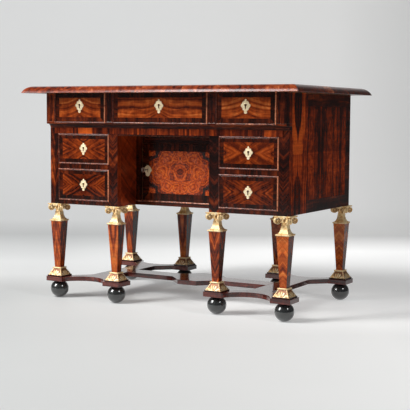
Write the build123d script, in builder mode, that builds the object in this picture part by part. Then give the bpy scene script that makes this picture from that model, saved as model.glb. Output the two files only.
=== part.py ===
from build123d import *
import os

# A bureau Mazarin: a writing desk with three frieze drawers over two pedestals, a cupboard at the
# back of its knee hole, and eight square tapered legs joined by shaped stretchers.
# The origin is on the floor under the middle of the top. X runs across, +Y to the back, +Z up.

# ---- Plan sizes, in mm
carcass_width = 985.0
carcass_depth = 537.0
knee_width = 380.0
recess_depth = 124.0  # from the pedestal fronts to the cupboard front
side_overhang = 68.5  # of the top past the carcass
front_overhang = 87.0
back_overhang = 38.0
frieze_projection = 23.0  # of the frieze before the pedestals
leg_inset_front = 24.0
leg_inset_back = 19.0

# ---- Heights, from the floor up
ball_height = 64.0
stretcher_thick = 17.0
base_height = 34.0
shaft_height = 176.0
capital_height = 67.0
bottom_rail = 20.0
lower_opening = 108.0
middle_rail = 28.0
upper_opening = 102.0
top_rail = 27.0
cove_height = 14.0
frieze_rail = 8.0
frieze_opening = 104.0
top_thick = 25.0

# ---- Boards and frames
side_thick = 18.0
back_thick = 18.0
stile_width = 42.5
stile_thick = 22.0
floor_thick = 12.0  # pedestal bottoms, cupboard floor and knee-hole ceiling
runner_width = 34.0
guide_height = 16.0
strip_thick = 3.0  # of the cross-banded strip on the top rails
strip_joint = 1.0
bead_width = 5.0
bead_height = 2.4
cove_reach = 17.0

# ---- Top
edge_width = 42.0  # of the applied moulding
edge_inset = 35.0  # from the lip to the flat of the top
lip_height = 7.0
lip_slope = 3.0  # from the foot of the lip to its head
nose_radius = 1.0

# ---- Drawers
front_thick = 20.0
drawer_gap = 0.8  # round each front, and beside each box
drawer_side = 9.0
drawer_bottom = 6.0
bottom_raise = 3.0  # of the drawer bottom over its runners
side_drop = 5.0  # of the box below the top of the front
back_drop = 4.0
stop_space = 30.0  # behind a closed box
tail_count = 3  # dovetails at each front corner
tail_root = 16.0
tail_tip = 22.0
front_lap = 6.0  # of the front over the ends of the tails
lock_width = 56.0
lock_height = 60.0
lock_depth = 12.0
bolt_width = 16.0
bolt_thick = 5.0
bolt_height = 14.0
fit_gap = 0.3

# ---- Keyhole plates
plate_thick = 1.6
frieze_plate = (37.0, 50.0)
pedestal_plate = (34.0, 44.0)
door_plate = (34.0, 41.0)
plate_lift = 5.0  # of a frieze plate over the middle of its drawer
plate_hang = 4.0  # of a plate's middle below its keyhole
keyhole_radius = 3.2
keyhole_slot = 2.8
keyhole_drop = 9.5

# ---- Cupboard and its door
door_stile = 28.0
door_top_rail = 28.0
door_bottom_rail = 18.0
frame_thick = 20.0
door_thick = 18.0
door_gap = 1.2
door_lock_setback = 22.0  # of the keyhole from the door's free edge
door_lock_lift = 8.0  # of the keyhole over the middle of the door
hinge_length = 50.0
hinge_inset = 38.0
hinge_plate = 1.4
hinge_width = 15.0
knuckle_radius = 3.2
knuckle_stand = 3.6  # of the pin before the door's face
knuckle_gap = 0.4
pin_radius = 1.4
pin_clearance = 0.05
case_wall = 2.0
door_case_width = 46.0
door_case_height = 50.0
door_case_depth = 12.0
door_bolt_length = 34.0
door_bolt_height = 9.0
door_bolt_thick = 5.0
key_shank_radius = 2.1
key_bit_reach = 7.0
key_bit_length = 5.0
key_stand = 30.0  # of the key's bow before the plate
bow_radius = 9.0
bow_thick = 3.0
bow_hole = 5.6
collar_radius = 3.4
key_bit_thick = 1.6

# ---- Legs and stretchers
ball_radius = 34.0
ball_rise = 33.3  # of a ball's top over its middle; it is turned a little flat
ball_flat = 4.5
base_width = 65.0
base_plinth = 5.0
base_top_width = 38.0
base_top_height = 5.0
base_ledge = 1.5
shaft_foot = 25.5
shaft_head = 45.5
capital_lip = 51.0
capital_lip_height = 6.0
neck_width = 22.0
neck_height = 36.0
abacus_width = 62.0
abacus_height = 5.0
abacus_hollow = 4.0  # of each side between the horns
lip_ledge = 2.0
bell_width = 45.0
bell_height = 20.0
volute_sides = 8  # it is carved from an eight-sided block
volute_radius = 11.5
volute_length = 17.0
volute_reach = 30.0
volute_drop = 11.0  # of a volute's middle below the abacus
pad_width = 74.0
pad_chamfer = 3.0
spine_width = 80.0
flare_run = 50.0
flare_round = 14.0
stretcher_bay = 68.0  # depth of the hollow between two pads
platform_width = 192.0

# ---- Levels and planes that follow
pad_low = ball_height
base_low = pad_low + stretcher_thick
shaft_low = base_low + base_height
capital_low = shaft_low + shaft_height
carcass_low = capital_low + capital_height
lower_low = carcass_low + bottom_rail
lower_high = lower_low + lower_opening
upper_low = lower_high + middle_rail
upper_high = upper_low + upper_opening
rail_high = upper_high + top_rail
frieze_low = rail_high + cove_height
frieze_floor = frieze_low + frieze_rail
carcass_high = frieze_floor + frieze_opening

top_width = carcass_width + 2 * side_overhang
top_depth = carcass_depth + front_overhang + back_overhang
front = front_overhang - top_depth / 2
back = front + carcass_depth
frieze_front = front - frieze_projection
frame_back = front + stile_thick
panel_front = back - back_thick
door_face = front + recess_depth
frame_inside = door_face + frame_thick

outer = carcass_width / 2
outer_panel = outer - side_thick
inner = knee_width / 2
inner_panel = inner + side_thick
bay_in = inner + stile_width  # a pedestal opening runs from bay_in to bay_out
bay_out = outer - stile_width
bay_width = bay_out - bay_in
bay_middle = (bay_in + bay_out) / 2

leg_outer = outer - stile_width / 2
leg_inner = inner + stile_width / 2
leg_front = front + leg_inset_front
leg_back = back - leg_inset_back
legs = {
    "leg_front_left_outer": (-leg_outer, leg_front),
    "leg_front_left_inner": (-leg_inner, leg_front),
    "leg_front_right_inner": (leg_inner, leg_front),
    "leg_front_right_outer": (leg_outer, leg_front),
    "leg_back_left_outer": (-leg_outer, leg_back),
    "leg_back_left_inner": (-leg_inner, leg_back),
    "leg_back_right_inner": (leg_inner, leg_back),
    "leg_back_right_outer": (leg_outer, leg_back),
}


def save(name, *shapes):
    """Label a piece, or a group of like pieces that stay apart, and write its file."""
    piece = shapes[0] if len(shapes) == 1 else Compound(children=list(shapes))
    piece.label = name
    export_step(piece, f"parts/{name}.step")


def board(x, y, z):
    """A square-edged board; x, y and z each give its low and its high side."""
    with BuildPart() as piece:
        with BuildSketch(Plane.XY.offset(z[0])):
            with Locations(((x[0] + x[1]) / 2, (y[0] + y[1]) / 2)):
                Rectangle(x[1] - x[0], y[1] - y[0])
        extrude(amount=z[1] - z[0])
    return piece.part


def pair(shape):
    """The same piece on the right and on the left of the desk."""
    return [shape, mirror(shape, about=Plane.YZ)]


def bead(middle, low, width, height, face, sides=4):
    """A half-round bead round an opening, on the face of its frame; three sides leave off the top."""
    with BuildPart() as ring:
        with BuildSketch(Plane.XZ.offset(-face)):
            with Locations((middle, low + height / 2)):
                Rectangle(width + 2 * bead_width, height + 2 * bead_width)
                Rectangle(width, height, mode=Mode.SUBTRACT)
            if sides == 3:
                with Locations((middle, low + height)):
                    Rectangle(
                        width + 2 * bead_width,
                        2 * bead_width,
                        align=(Align.CENTER, Align.MIN),
                        mode=Mode.SUBTRACT,
                    )
        extrude(amount=bead_height)
        crown = ring.faces().sort_by(Axis.Y)[0].edges()
        rounded = crown if sides == 4 else crown.filter_by(Axis.X) + crown.filter_by(Axis.Z)
        tips = [e for e in rounded if sides == 3 and e.center().Z > low + height - 0.01]
        fillet([e for e in rounded if e not in tips], radius=bead_height * 0.96)
    return ring.part


def facing_front(x, y, z):
    """A plane that looks to the front of the desk, with its origin at a point."""
    return Plane((x, y, z), x_dir=(1, 0, 0), z_dir=(0, -1, 0))


def keyhole(mode):
    """A keyhole in the sketch at hand, with its round part on the sketch's origin."""
    Circle(keyhole_radius, mode=mode)
    with Locations((0, -keyhole_drop / 2)):
        Rectangle(keyhole_slot, keyhole_drop, mode=mode)


def keyhole_plate(key_x, key_z, face, size):
    """A cartouche-shaped plate with a drop at its foot, pierced by its keyhole, lying on a face."""
    half = size[0] / 2
    tall = size[1]
    with BuildPart() as plate:
        with BuildSketch(facing_front(key_x, face, key_z)):
            with BuildLine():
                foot = -plate_hang
                crown = ThreePointArc(
                    (0, foot + 0.5 * tall), (0.67 * half, foot + 0.32 * tall), (half, foot + 0.06 * tall)
                )
                cheek = Line(crown @ 1, (0.5 * half, foot - 0.24 * tall))
                ThreePointArc(cheek @ 1, (0.48 * half, foot - 0.37 * tall), (0, foot - 0.5 * tall))
                mirror(about=Plane.YZ)
            make_face()
            keyhole(Mode.SUBTRACT)
        extrude(amount=plate_thick)
    return plate.part


def dovetails(outside, low, high, root_y):
    """The tails of a drawer side, from its low x, that reach forward into the drawer's front."""
    pitch = (high - low) / tail_count
    length = front_thick - front_lap
    with BuildPart() as tails:
        with BuildSketch(Plane((outside, root_y, low), x_dir=(0, 1, 0), z_dir=(1, 0, 0))):
            with Locations(*[(0, (i + 0.5) * pitch) for i in range(tail_count)]):
                Polygon(
                    (0, -tail_root / 2),
                    (0, tail_root / 2),
                    (-length, tail_tip / 2),
                    (-length, -tail_tip / 2),
                    align=None,
                )
        extrude(amount=drawer_side)
    return tails.part


def drawer(name, middle, opening, low, high, face, plate, lift):
    """One drawer, closed: its front, its box and its lock with the keyhole plate."""
    half = opening / 2 - drawer_gap
    front_high = high - drawer_gap
    front_back = face + front_thick
    box_back = panel_front - stop_space
    side_high = front_high - side_drop
    bottom = low + bottom_raise
    inside = half - drawer_side
    across = (middle - inside, middle + inside)
    plate_z = (low + high) / 2 + lift
    key_z = plate_z + plate_hang

    sides = []
    with BuildPart() as drawer_front:
        add(board((middle - half, middle + half), (face, front_back), (low + drawer_gap, front_high)))
        with BuildSketch(facing_front(middle, face, key_z)):
            keyhole(Mode.ADD)
        extrude(amount=-front_thick, mode=Mode.SUBTRACT)
        for outside in (middle - half, middle + inside):
            tails = dovetails(outside, low + drawer_gap, side_high, front_back)
            add(tails, mode=Mode.SUBTRACT)
            length = board((outside, outside + drawer_side), (front_back, box_back), (low, side_high))
            sides.append(length + tails)
    save(f"{name}_front", drawer_front.part)
    floor = board(across, (front_back, box_back), (bottom, bottom + drawer_bottom))
    rear_span = (bottom + drawer_bottom, side_high - back_drop)
    rear = board(across, (box_back - drawer_side, box_back), rear_span)
    save(f"{name}_box", *sides, floor, rear)

    slot = bolt_height + fit_gap
    bolt_y = front_back + lock_depth / 2
    with BuildPart() as case:
        with BuildSketch(Plane.XY.offset(front_high)):
            with Locations((middle, bolt_y)):
                Rectangle(lock_width, lock_depth)
        extrude(amount=-lock_height)
        with BuildSketch(Plane.XY.offset(front_high)):
            with Locations((middle, bolt_y)):
                Rectangle(bolt_width + 2 * fit_gap, bolt_thick + 2 * fit_gap)
        extrude(amount=-slot, mode=Mode.SUBTRACT)
    bolt = board(
        (middle - bolt_width / 2, middle + bolt_width / 2),
        (bolt_y - bolt_thick / 2, bolt_y + bolt_thick / 2),
        (front_high - slot, front_high - fit_gap),
    )
    save(f"{name}_lock", keyhole_plate(middle, key_z, face, plate), case.part, bolt)


os.makedirs("parts", exist_ok=True)


# ---- The top: a board with four mitred lengths of rounded edge moulding
def edge_length(run):
    """A length of edge moulding, its lip on the local X axis and its mitres at both ends."""
    with BuildPart() as length:
        with BuildSketch(Plane.YZ):
            with BuildLine():
                under = Line((edge_width, 0), (nose_radius, 0))
                nose = TangentArc(under @ 1, (0, nose_radius), tangent=(-1, 0))
                lip = Line(nose @ 1, (lip_slope, lip_height))
                flat = Line((edge_width, top_thick), (edge_inset, top_thick))
                TangentArc(flat @ 1, lip @ 1, tangent=(-1, 0))
                Line(flat @ 0, under @ 0)
            make_face()
        extrude(amount=run / 2, both=True)
        with BuildSketch():
            with BuildLine():
                Polyline(
                    (-run / 2, 0),
                    (run / 2, 0),
                    (run / 2 - edge_width, edge_width),
                    (edge_width - run / 2, edge_width),
                    close=True,
                )
            make_face()
        extrude(amount=top_thick, mode=Mode.INTERSECT)
    return length.part


long_edge = edge_length(top_width)
short_edge = edge_length(top_depth)
save(
    "top_edge_moulding",
    Pos(0, -top_depth / 2, carcass_high) * long_edge,
    Pos(0, top_depth / 2, carcass_high) * Rot(0, 0, 180) * long_edge,
    Pos(top_width / 2, 0, carcass_high) * Rot(0, 0, 90) * short_edge,
    Pos(-top_width / 2, 0, carcass_high) * Rot(0, 0, -90) * short_edge,
)
core_x = top_width / 2 - edge_width
core_y = top_depth / 2 - edge_width
save("top_board", board((-core_x, core_x), (-core_y, core_y), (carcass_high, carcass_high + top_thick)))

# ---- Carcass boards
side = board((outer_panel, outer), (frame_back, back), (carcass_low, carcass_high))
inner_side = board((inner, inner_panel), (frame_back, panel_front), (carcass_low, frieze_low))
for label, shape in zip(("right", "left"), pair(side)):
    save(f"side_panel_{label}", shape)
for label, shape in zip(("right", "left"), pair(inner_side)):
    save(f"inner_side_{label}", shape)
save("back_panel", board((-outer_panel, outer_panel), (panel_front, back), (carcass_low, carcass_high)))
save(
    "frieze_dust_board",
    board((-outer_panel, outer_panel), (frame_back, panel_front), (frieze_low, frieze_floor)),
)
partition_half = side_thick / 2
partition = board(
    (leg_inner - partition_half, leg_inner + partition_half),
    (frame_back, panel_front),
    (frieze_floor, carcass_high),
)
save("frieze_partitions", *pair(partition))
bottom_span = (carcass_low, carcass_low + floor_thick)
save(
    "bottom_boards",
    *pair(board((inner_panel, outer_panel), (frame_back, panel_front), bottom_span)),
    board((-inner, inner), (frame_inside, panel_front), bottom_span),
)
save(
    "knee_hole_ceiling",
    board((-inner, inner), (frame_back, panel_front), (upper_high, upper_high + floor_thick)),
)

# ---- Front frames
face = (front, frame_back)
save(
    "pedestal_stiles",
    *pair(board((bay_out, outer), face, (carcass_low, rail_high))),
    *pair(board((inner, bay_in), face, (carcass_low, rail_high))),
)
rails = []
for low, high in ((carcass_low, lower_low), (lower_high, upper_low), (upper_high, rail_high)):
    rails += pair(board((bay_in, bay_out), face, (low, high)))
rails.append(board((-inner, inner), face, (upper_high, rail_high)))
save("front_rails", *rails)
frieze_face = (frieze_front, frame_back)
save(
    "frieze_frame",
    board((-outer, outer), frieze_face, (frieze_low, frieze_floor)),
    *pair(board((bay_out, outer), frieze_face, (frieze_floor, carcass_high))),
    *pair(board((inner, bay_in), frieze_face, (frieze_floor, carcass_high))),
)
with BuildPart() as cove:
    with BuildSketch(Plane.YZ):
        with BuildLine():
            hollow = EllipticalCenterArc(
                (front - cove_reach, rail_high), cove_reach, cove_height, arc_size=90
            )
            Polyline(hollow @ 1, (frame_back, frieze_low), (frame_back, rail_high), hollow @ 0)
        make_face()
    extrude(amount=outer, both=True)
save("frieze_cove", cove.part)
strip_face = (front - strip_thick, front)
strip_span = (upper_high + bead_width, rail_high)
save(
    "crossbanded_strip",
    board((-leg_inner, leg_inner), strip_face, strip_span),
    *pair(board((leg_inner + strip_joint, leg_outer), strip_face, strip_span)),
)

beads = []
for low, tall in ((lower_low, lower_opening), (upper_low, upper_opening)):
    beads += pair(bead(bay_middle, low, bay_width, tall, front))
beads += pair(bead(bay_middle, frieze_floor, bay_width, frieze_opening, frieze_front, sides=3))
beads.append(bead(0, frieze_floor, knee_width, frieze_opening, frieze_front, sides=3))
with BuildPart() as door_bead:
    with BuildSketch(Plane.YZ):
        with Locations((door_face, carcass_low + door_bottom_rail - bead_width / 2)):
            Ellipse(bead_height, bead_width / 2)
            Rectangle(bead_height, bead_width, align=(Align.MIN, Align.CENTER), mode=Mode.SUBTRACT)
    extrude(amount=inner, both=True)
save("opening_beads", *beads, door_bead.part)

# ---- Runners and guides
runs = (frame_back, panel_front)
runners = []
for edge, wall in ((bay_in, inner_panel), (bay_out, outer_panel)):
    reach = wall + runner_width if wall < edge else wall - runner_width
    across = sorted((wall, reach))
    beside = sorted((wall, edge))
    runners += pair(board(across, runs, (carcass_low + floor_thick, lower_low)))
    runners += pair(board(across, runs, (lower_high, upper_low)))
    runners += pair(board(across, runs, (upper_high, upper_high + floor_thick)))
    runners += pair(board(beside, runs, (lower_low, lower_low + guide_height)))
    runners += pair(board(beside, runs, (upper_low, upper_low + guide_height)))
frieze_guides = (frieze_floor, frieze_floor + guide_height)
runners += pair(board((bay_out, outer_panel), runs, frieze_guides))
runners += pair(board((leg_inner + partition_half, bay_in), runs, frieze_guides))
runners += pair(board((inner, leg_inner - partition_half), runs, frieze_guides))
save("drawer_runners", *runners)

# ---- Drawers
in_frieze = (frieze_floor, carcass_high, frieze_front, frieze_plate, plate_lift)
for label, sign in (("left", -1), ("right", 1)):
    middle = sign * bay_middle
    drawer(f"{label}_frieze_drawer", middle, bay_width, *in_frieze)
    for row, low, high in (("upper", upper_low, upper_high), ("lower", lower_low, lower_high)):
        drawer(f"{label}_{row}_drawer", middle, bay_width, low, high, front, pedestal_plate, 0)
drawer("centre_frieze_drawer", 0, knee_width, *in_frieze)

# ---- Cupboard frame
door_half = inner - door_stile
door_low = carcass_low + door_bottom_rail
door_high = upper_high - door_top_rail
frame_face = (door_face, frame_inside)
hinge_centres = (door_low + hinge_inset, door_high - hinge_inset)
hinge_x = door_half - door_gap / 2
hinge_y = door_face - knuckle_stand
with BuildPart() as hinge_stile:
    add(board((door_half, inner), frame_face, (door_low, upper_high)))
    for level in hinge_centres:
        with BuildSketch(Plane.XY.offset(level - hinge_length / 2)):
            with Locations((door_half, door_face)):
                Rectangle(hinge_plate, hinge_width, align=(Align.MIN, Align.MIN))
        extrude(amount=hinge_length, mode=Mode.SUBTRACT)
save(
    "cupboard_frame",
    hinge_stile.part,
    board((-inner, -door_half), frame_face, (door_low, upper_high)),
    board((-door_half, door_half), frame_face, (door_high, upper_high)),
    board((-inner, inner), frame_face, (carcass_low, door_low)),
)

# ---- Cupboard door
leaf_half = door_half - door_gap
leaf_low = door_low + door_gap
leaf_high = door_high - door_gap
key_x = door_lock_setback - leaf_half
key_z = (leaf_low + leaf_high) / 2 + door_lock_lift
leaf_back = door_face + door_thick
with BuildPart() as door_leaf:
    add(board((-leaf_half, leaf_half), (door_face, leaf_back), (leaf_low, leaf_high)))
    with BuildSketch(facing_front(key_x, door_face, key_z)):
        keyhole(Mode.ADD)
    extrude(amount=-door_thick, mode=Mode.SUBTRACT)
    for level in hinge_centres:
        with BuildSketch(Plane.XY.offset(level - hinge_length / 2)):
            with Locations((leaf_half, door_face)):
                Rectangle(hinge_plate, hinge_width, align=(Align.MAX, Align.MIN))
        extrude(amount=hinge_length, mode=Mode.SUBTRACT)
save("door_leaf", door_leaf.part)

# ---- Butt hinges: two knuckles and the pin on the frame, one knuckle on the door
knuckle_length = hinge_length / 3


def hinge_leaf(level, plate_edge, align, knuckles, with_pin):
    """One leaf of a butt hinge at a level; knuckles gives the low ends of its knuckles."""
    with BuildPart() as leaf:
        with BuildSketch(Plane.XY.offset(level - hinge_length / 2)):
            with Locations((plate_edge, door_face)):
                Rectangle(hinge_plate, hinge_width, align=(align, Align.MIN))
        extrude(amount=hinge_length)
        for low in knuckles:
            with BuildSketch(Plane.XY.offset(low + knuckle_gap / 2)):
                with Locations((hinge_x, hinge_y)):
                    Circle(knuckle_radius)
                with Locations((plate_edge, hinge_y)):
                    Rectangle(hinge_plate, knuckle_stand, align=(align, Align.MIN))
            extrude(amount=knuckle_length - knuckle_gap)
        with BuildSketch(Plane.XY.offset(level)):
            with Locations((hinge_x, hinge_y)):
                Circle(pin_radius if with_pin else pin_radius + pin_clearance)
        pin_half = knuckle_length / 2 + knuckle_gap
        extrude(amount=pin_half, both=True, mode=Mode.ADD if with_pin else Mode.SUBTRACT)
    return leaf.part


frame_leaves = []
door_leaves = []
for level in hinge_centres:
    foot = level - hinge_length / 2
    frame_leaves.append(
        hinge_leaf(level, door_half, Align.MIN, (foot, foot + 2 * knuckle_length), with_pin=True)
    )
    door_leaves.append(
        hinge_leaf(level, leaf_half, Align.MAX, (foot + knuckle_length,), with_pin=False)
    )
save("hinge_frame_leaves", *frame_leaves)
save("hinge_door_leaves", *door_leaves)

# ---- Door lock: an open-fronted case behind the leaf, with the bolt above the key
case_back = leaf_back + door_case_depth
case_left = key_x - door_lock_setback + 3 * door_gap
case_low = key_z - door_case_height / 2
bolt_low = key_z + key_bit_reach + 2 * fit_gap
bolt_face = leaf_back + (door_case_depth - case_wall - door_bolt_thick) / 2
with BuildPart() as door_case:
    add(
        board(
            (case_left, case_left + door_case_width),
            (leaf_back, case_back),
            (case_low, case_low + door_case_height),
        )
    )
    add(
        board(
            (case_left + case_wall, case_left + door_case_width - case_wall),
            (leaf_back, case_back - case_wall),
            (case_low + case_wall, case_low + door_case_height - case_wall),
        ),
        mode=Mode.SUBTRACT,
    )
    add(
        board(
            (case_left, case_left + case_wall),
            (bolt_face - fit_gap, bolt_face + door_bolt_thick + fit_gap),
            (bolt_low - fit_gap, bolt_low + door_bolt_height + fit_gap),
        ),
        mode=Mode.SUBTRACT,
    )
save("door_lock", door_case.part, keyhole_plate(key_x, key_z, door_face, door_plate))
save(
    "door_bolt",
    board(
        (case_left, case_left + door_bolt_length),
        (bolt_face, bolt_face + door_bolt_thick),
        (bolt_low, bolt_low + door_bolt_height),
    ),
)

# ---- Door key: a flat ring bow, a round shank with a collar, and the bit inside the lock
bow_y = door_face - plate_thick - key_stand
shank_start = bow_y + (bow_radius + bow_hole) / 2
shank_end = case_back - case_wall - 2 * fit_gap
collar_y = bow_y + bow_radius + bow_thick
with BuildPart() as door_key:
    with BuildSketch(facing_front(key_x, shank_start, key_z)):
        Circle(key_shank_radius)
    extrude(amount=shank_start - shank_end)
    with BuildSketch(Plane((key_x, bow_y, key_z), x_dir=(0, 1, 0), z_dir=(1, 0, 0))):
        Circle(bow_radius)
        Circle(bow_hole, mode=Mode.SUBTRACT)
    extrude(amount=bow_thick / 2, both=True)
    with BuildSketch(facing_front(key_x, collar_y, key_z)):
        Circle(collar_radius)
    extrude(amount=-bow_thick)
    with BuildSketch(facing_front(key_x, bolt_face, key_z)):
        Rectangle(key_bit_thick, key_bit_reach, align=(Align.CENTER, Align.MAX))
    extrude(amount=-key_bit_length)
save("door_key", door_key.part)

# ---- Legs
def shaft_outline():
    """Half the outline of a leg's shaft, which widens upward from its foot."""
    Polyline((0, 0), (shaft_foot / 2, 0), (shaft_head / 2, shaft_height), (0, shaft_height))


def base_outline():
    """Half the outline of a carved base: a plinth, a slope and a square fillet."""
    Polyline((0, 0), (base_width / 2, 0), (base_width / 2, base_plinth))
    Polyline(
        (base_width / 2, base_plinth),
        (base_top_width / 2 - base_ledge, base_height - base_top_height),
        (base_top_width / 2, base_height - base_top_height),
        (base_top_width / 2, base_height),
        (0, base_height),
    )


def capital_outline():
    """Half the outline of a capital's core: a square lip, a sweep to a narrow neck, and the bell."""
    half = capital_lip / 2
    core_high = capital_height - abacus_height
    Polyline((0, 0), (half, 0), (half, capital_lip_height))
    sweep_up = TangentArc(
        (neck_width / 2, neck_height), (half - lip_ledge, capital_lip_height), tangent=(0, -1)
    )
    Line(sweep_up @ 1, (half, capital_lip_height))
    Polyline(
        sweep_up @ 0,
        (neck_width / 2, core_high - bell_height),
        (bell_width / 2, core_high - bell_height / 2),
        (bell_width / 2, core_high),
        (0, core_high),
    )


def moulded_block(outline):
    """A square block whose four sides share one moulded outline."""
    with BuildPart() as block:
        for plane, mode in ((Plane.XZ, Mode.ADD), (Plane.YZ, Mode.INTERSECT)):
            with BuildSketch(plane):
                with BuildLine():
                    outline()
                    mirror(about=Plane.YZ)
                make_face()
            extrude(amount=base_width, both=True, mode=mode)
    return block.part


shaft = moulded_block(shaft_outline)
for label, (x, y) in legs.items():
    save(label, Pos(x, y, shaft_low) * shaft)

base = moulded_block(base_outline)
with BuildPart() as capital:
    add(moulded_block(capital_outline))
    abacus_low = Plane.XY.offset(capital_height - abacus_height)
    horn = abacus_width / 2
    with BuildSketch(abacus_low):
        with BuildLine():
            for turn in range(4):
                corners = [Vector(x, horn).rotate(Axis.Z, 90 * turn) for x in (-horn, horn)]
                middle = Vector(0, horn - abacus_hollow).rotate(Axis.Z, 90 * turn)
                ThreePointArc(corners[0], middle, corners[1])
        make_face()
    extrude(amount=abacus_height)
    for turn in (45, 135, 225, 315):
        across = abacus_low.rotated((0, 0, turn))
        with BuildSketch(Plane(across.origin, x_dir=across.x_dir, z_dir=across.y_dir)):
            with Locations((volute_reach, volute_drop)):
                RegularPolygon(volute_radius, volute_sides)
        extrude(amount=volute_length / 2, both=True)

with BuildPart() as ball:
    with BuildSketch(Plane.XZ):
        with Locations((0, ball_rise * (1 - (ball_flat / ball_radius) ** 2) ** 0.5)):
            Ellipse(ball_radius, ball_rise)
        Rectangle(ball_radius, ball_height, align=(Align.MIN, Align.MIN), mode=Mode.INTERSECT)
    revolve(axis=Axis.Z)

for label, piece, level in (
    ("leg_bases", base, base_low),
    ("leg_capitals", capital.part, capital_low),
    ("ball_feet", ball.part, 0),
):
    save(label, *[Pos(x, y, level) * piece for x, y in legs.values()])

# ---- Stretchers
middle_y = (leg_front + leg_back) / 2
pedestal_x = (leg_outer + leg_inner) / 2
reach_x = (leg_outer - leg_inner) / 2
reach_y = (leg_back - leg_front) / 2
half_pad = pad_width / 2
half_spine = spine_width / 2
for label, sign in (("left", -1), ("right", 1)):
    with BuildPart() as stretcher:
        with BuildSketch(Plane((sign * pedestal_x, middle_y, pad_low))):
            pad_in = reach_x - half_pad
            pad_out = reach_x + half_pad
            pad_front = reach_y + half_pad
            with BuildLine():
                hollow = TangentArc((0, pad_front - stretcher_bay), (pad_in, pad_front), tangent=(1, 0))
                Polyline(
                    hollow @ 1,
                    (pad_out - pad_chamfer, pad_front),
                    (pad_out, pad_front - pad_chamfer),
                    (pad_out, reach_y - half_pad),
                    (pad_in, reach_y - half_pad),
                )
                FilletPolyline(
                    (pad_in, reach_y - half_pad),
                    (half_spine, reach_y - half_pad - flare_run),
                    (half_spine, 0),
                    radius=flare_round,
                )
                mirror(about=Plane.YZ)
                mirror(about=Plane.XZ)
            make_face()
        extrude(amount=stretcher_thick)
    save(f"stretcher_{label}", stretcher.part)
with BuildPart() as link:
    with BuildSketch(Plane((0, middle_y, pad_low))):
        Rectangle(2 * (pedestal_x - half_spine), spine_width)
        RegularPolygon(platform_width / 2, 8, major_radius=False, rotation=22.5)
    extrude(amount=stretcher_thick)
save("stretcher_link", link.part)
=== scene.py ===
import math
import random

import bmesh
import bpy
from mathutils import Matrix, Vector


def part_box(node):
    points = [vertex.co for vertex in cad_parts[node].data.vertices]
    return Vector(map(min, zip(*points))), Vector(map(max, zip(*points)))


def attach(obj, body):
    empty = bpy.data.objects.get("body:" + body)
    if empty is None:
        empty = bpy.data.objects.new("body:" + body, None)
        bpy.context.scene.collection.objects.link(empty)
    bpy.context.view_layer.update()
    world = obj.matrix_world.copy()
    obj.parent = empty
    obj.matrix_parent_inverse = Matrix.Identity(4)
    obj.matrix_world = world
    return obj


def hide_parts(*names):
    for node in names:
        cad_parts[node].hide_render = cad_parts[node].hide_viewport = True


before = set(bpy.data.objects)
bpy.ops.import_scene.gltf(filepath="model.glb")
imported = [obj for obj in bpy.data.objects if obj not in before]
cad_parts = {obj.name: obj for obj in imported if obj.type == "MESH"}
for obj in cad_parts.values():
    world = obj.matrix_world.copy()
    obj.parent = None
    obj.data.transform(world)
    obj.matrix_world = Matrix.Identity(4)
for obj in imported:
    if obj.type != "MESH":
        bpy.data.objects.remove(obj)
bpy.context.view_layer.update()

# A bureau Mazarin in veneer, gilt wood and gilt brass. Metres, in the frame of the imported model.
X = Vector((1, 0, 0))
Y = Vector((0, 1, 0))
Z = Vector((0, 0, 1))
chance = random.Random(1690)


def low(node):
    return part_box(node)[0]


def high(node):
    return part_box(node)[1]


def opening(row):
    """A drawer opening in the right pedestal: its inner and outer x, its bottom and its top."""
    lo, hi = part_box(f"right_{row}_drawer_front")
    return lo.x - drawer_gap, hi.x + drawer_gap, lo.z - drawer_gap, hi.z + drawer_gap


# ---- Levels and planes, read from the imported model
drawer_gap = 0.0008
_, front, carcass_low = low("pedestal_stiles")
outer, frame_back, rail_high = high("pedestal_stiles")
_, frieze_front, frieze_low = low("frieze_frame")
carcass_high = high("frieze_frame").z
inner = low("inner_side_right").x
bay_in, bay_out, upper_low, upper_high = opening("upper")
_, _, lower_low, lower_high = opening("lower")
_, _, frieze_floor, _ = opening("frieze")

# ---- Sizes of the fittings
keyhole_radius, keyhole_slot, keyhole_drop = 0.0032, 0.0028, 0.0095
plate_thick, plate_hang, plate_lift = 0.0016, 0.004, 0.005
lock_height, bolt_width, bolt_thick, bolt_height = 0.060, 0.016, 0.005, 0.014


# ---- Materials
def linear(*screen):
    """Screen values, 0 to 255, as the linear values that shaders use."""
    return tuple(c / 255 / 12.92 if c < 10 else ((c / 255 + 0.055) / 1.055) ** 2.4 for c in screen)


class Signal:
    """What a node gives out; sums, products and the like add the nodes that work them out."""

    def __init__(self, shader, socket):
        self.shader, self.socket = shader, socket

    def math(self, how, other=0.0):
        return self.shader.node("ShaderNodeMath", (self, other), operation=how)

    def __add__(self, other):
        return self.math("ADD", other)

    def __mul__(self, other):
        return self.math("MULTIPLY", other)

    def span(self, low, high, new_low=0.0, new_high=1.0):
        """Stretches low to high over the new span, and holds what lies beyond at its ends."""
        return self.shader.node("ShaderNodeMapRange", (self, low, high, new_low, new_high))

    def split(self):
        """The first two coordinates of a vector."""
        made = self.shader.node("ShaderNodeSeparateXYZ", (self,)).socket.node
        return [Signal(self.shader, output) for output in made.outputs[:2]]

    def shift(self, across):
        """The vector with a number added to its second coordinate."""
        one, other = self.split()
        return self.shader.node("ShaderNodeCombineXYZ", (one, other + across))

    def scaled(self, scale, turn=(0, 0, 0)):
        return self.shader.node("ShaderNodeMapping", {"Vector": self, "Rotation": turn, "Scale": scale})

    def noise(self, scale, detail=3.0, roughness=0.55, distortion=0.0):
        """Noise of about 0.2 to 0.8, with its scale along each coordinate."""
        inputs = {"Vector": self.scaled(scale), "Scale": 1.0, "Detail": detail, "Roughness": roughness}
        return self.shader.node("ShaderNodeTexNoise", {**inputs, "Distortion": distortion})


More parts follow.
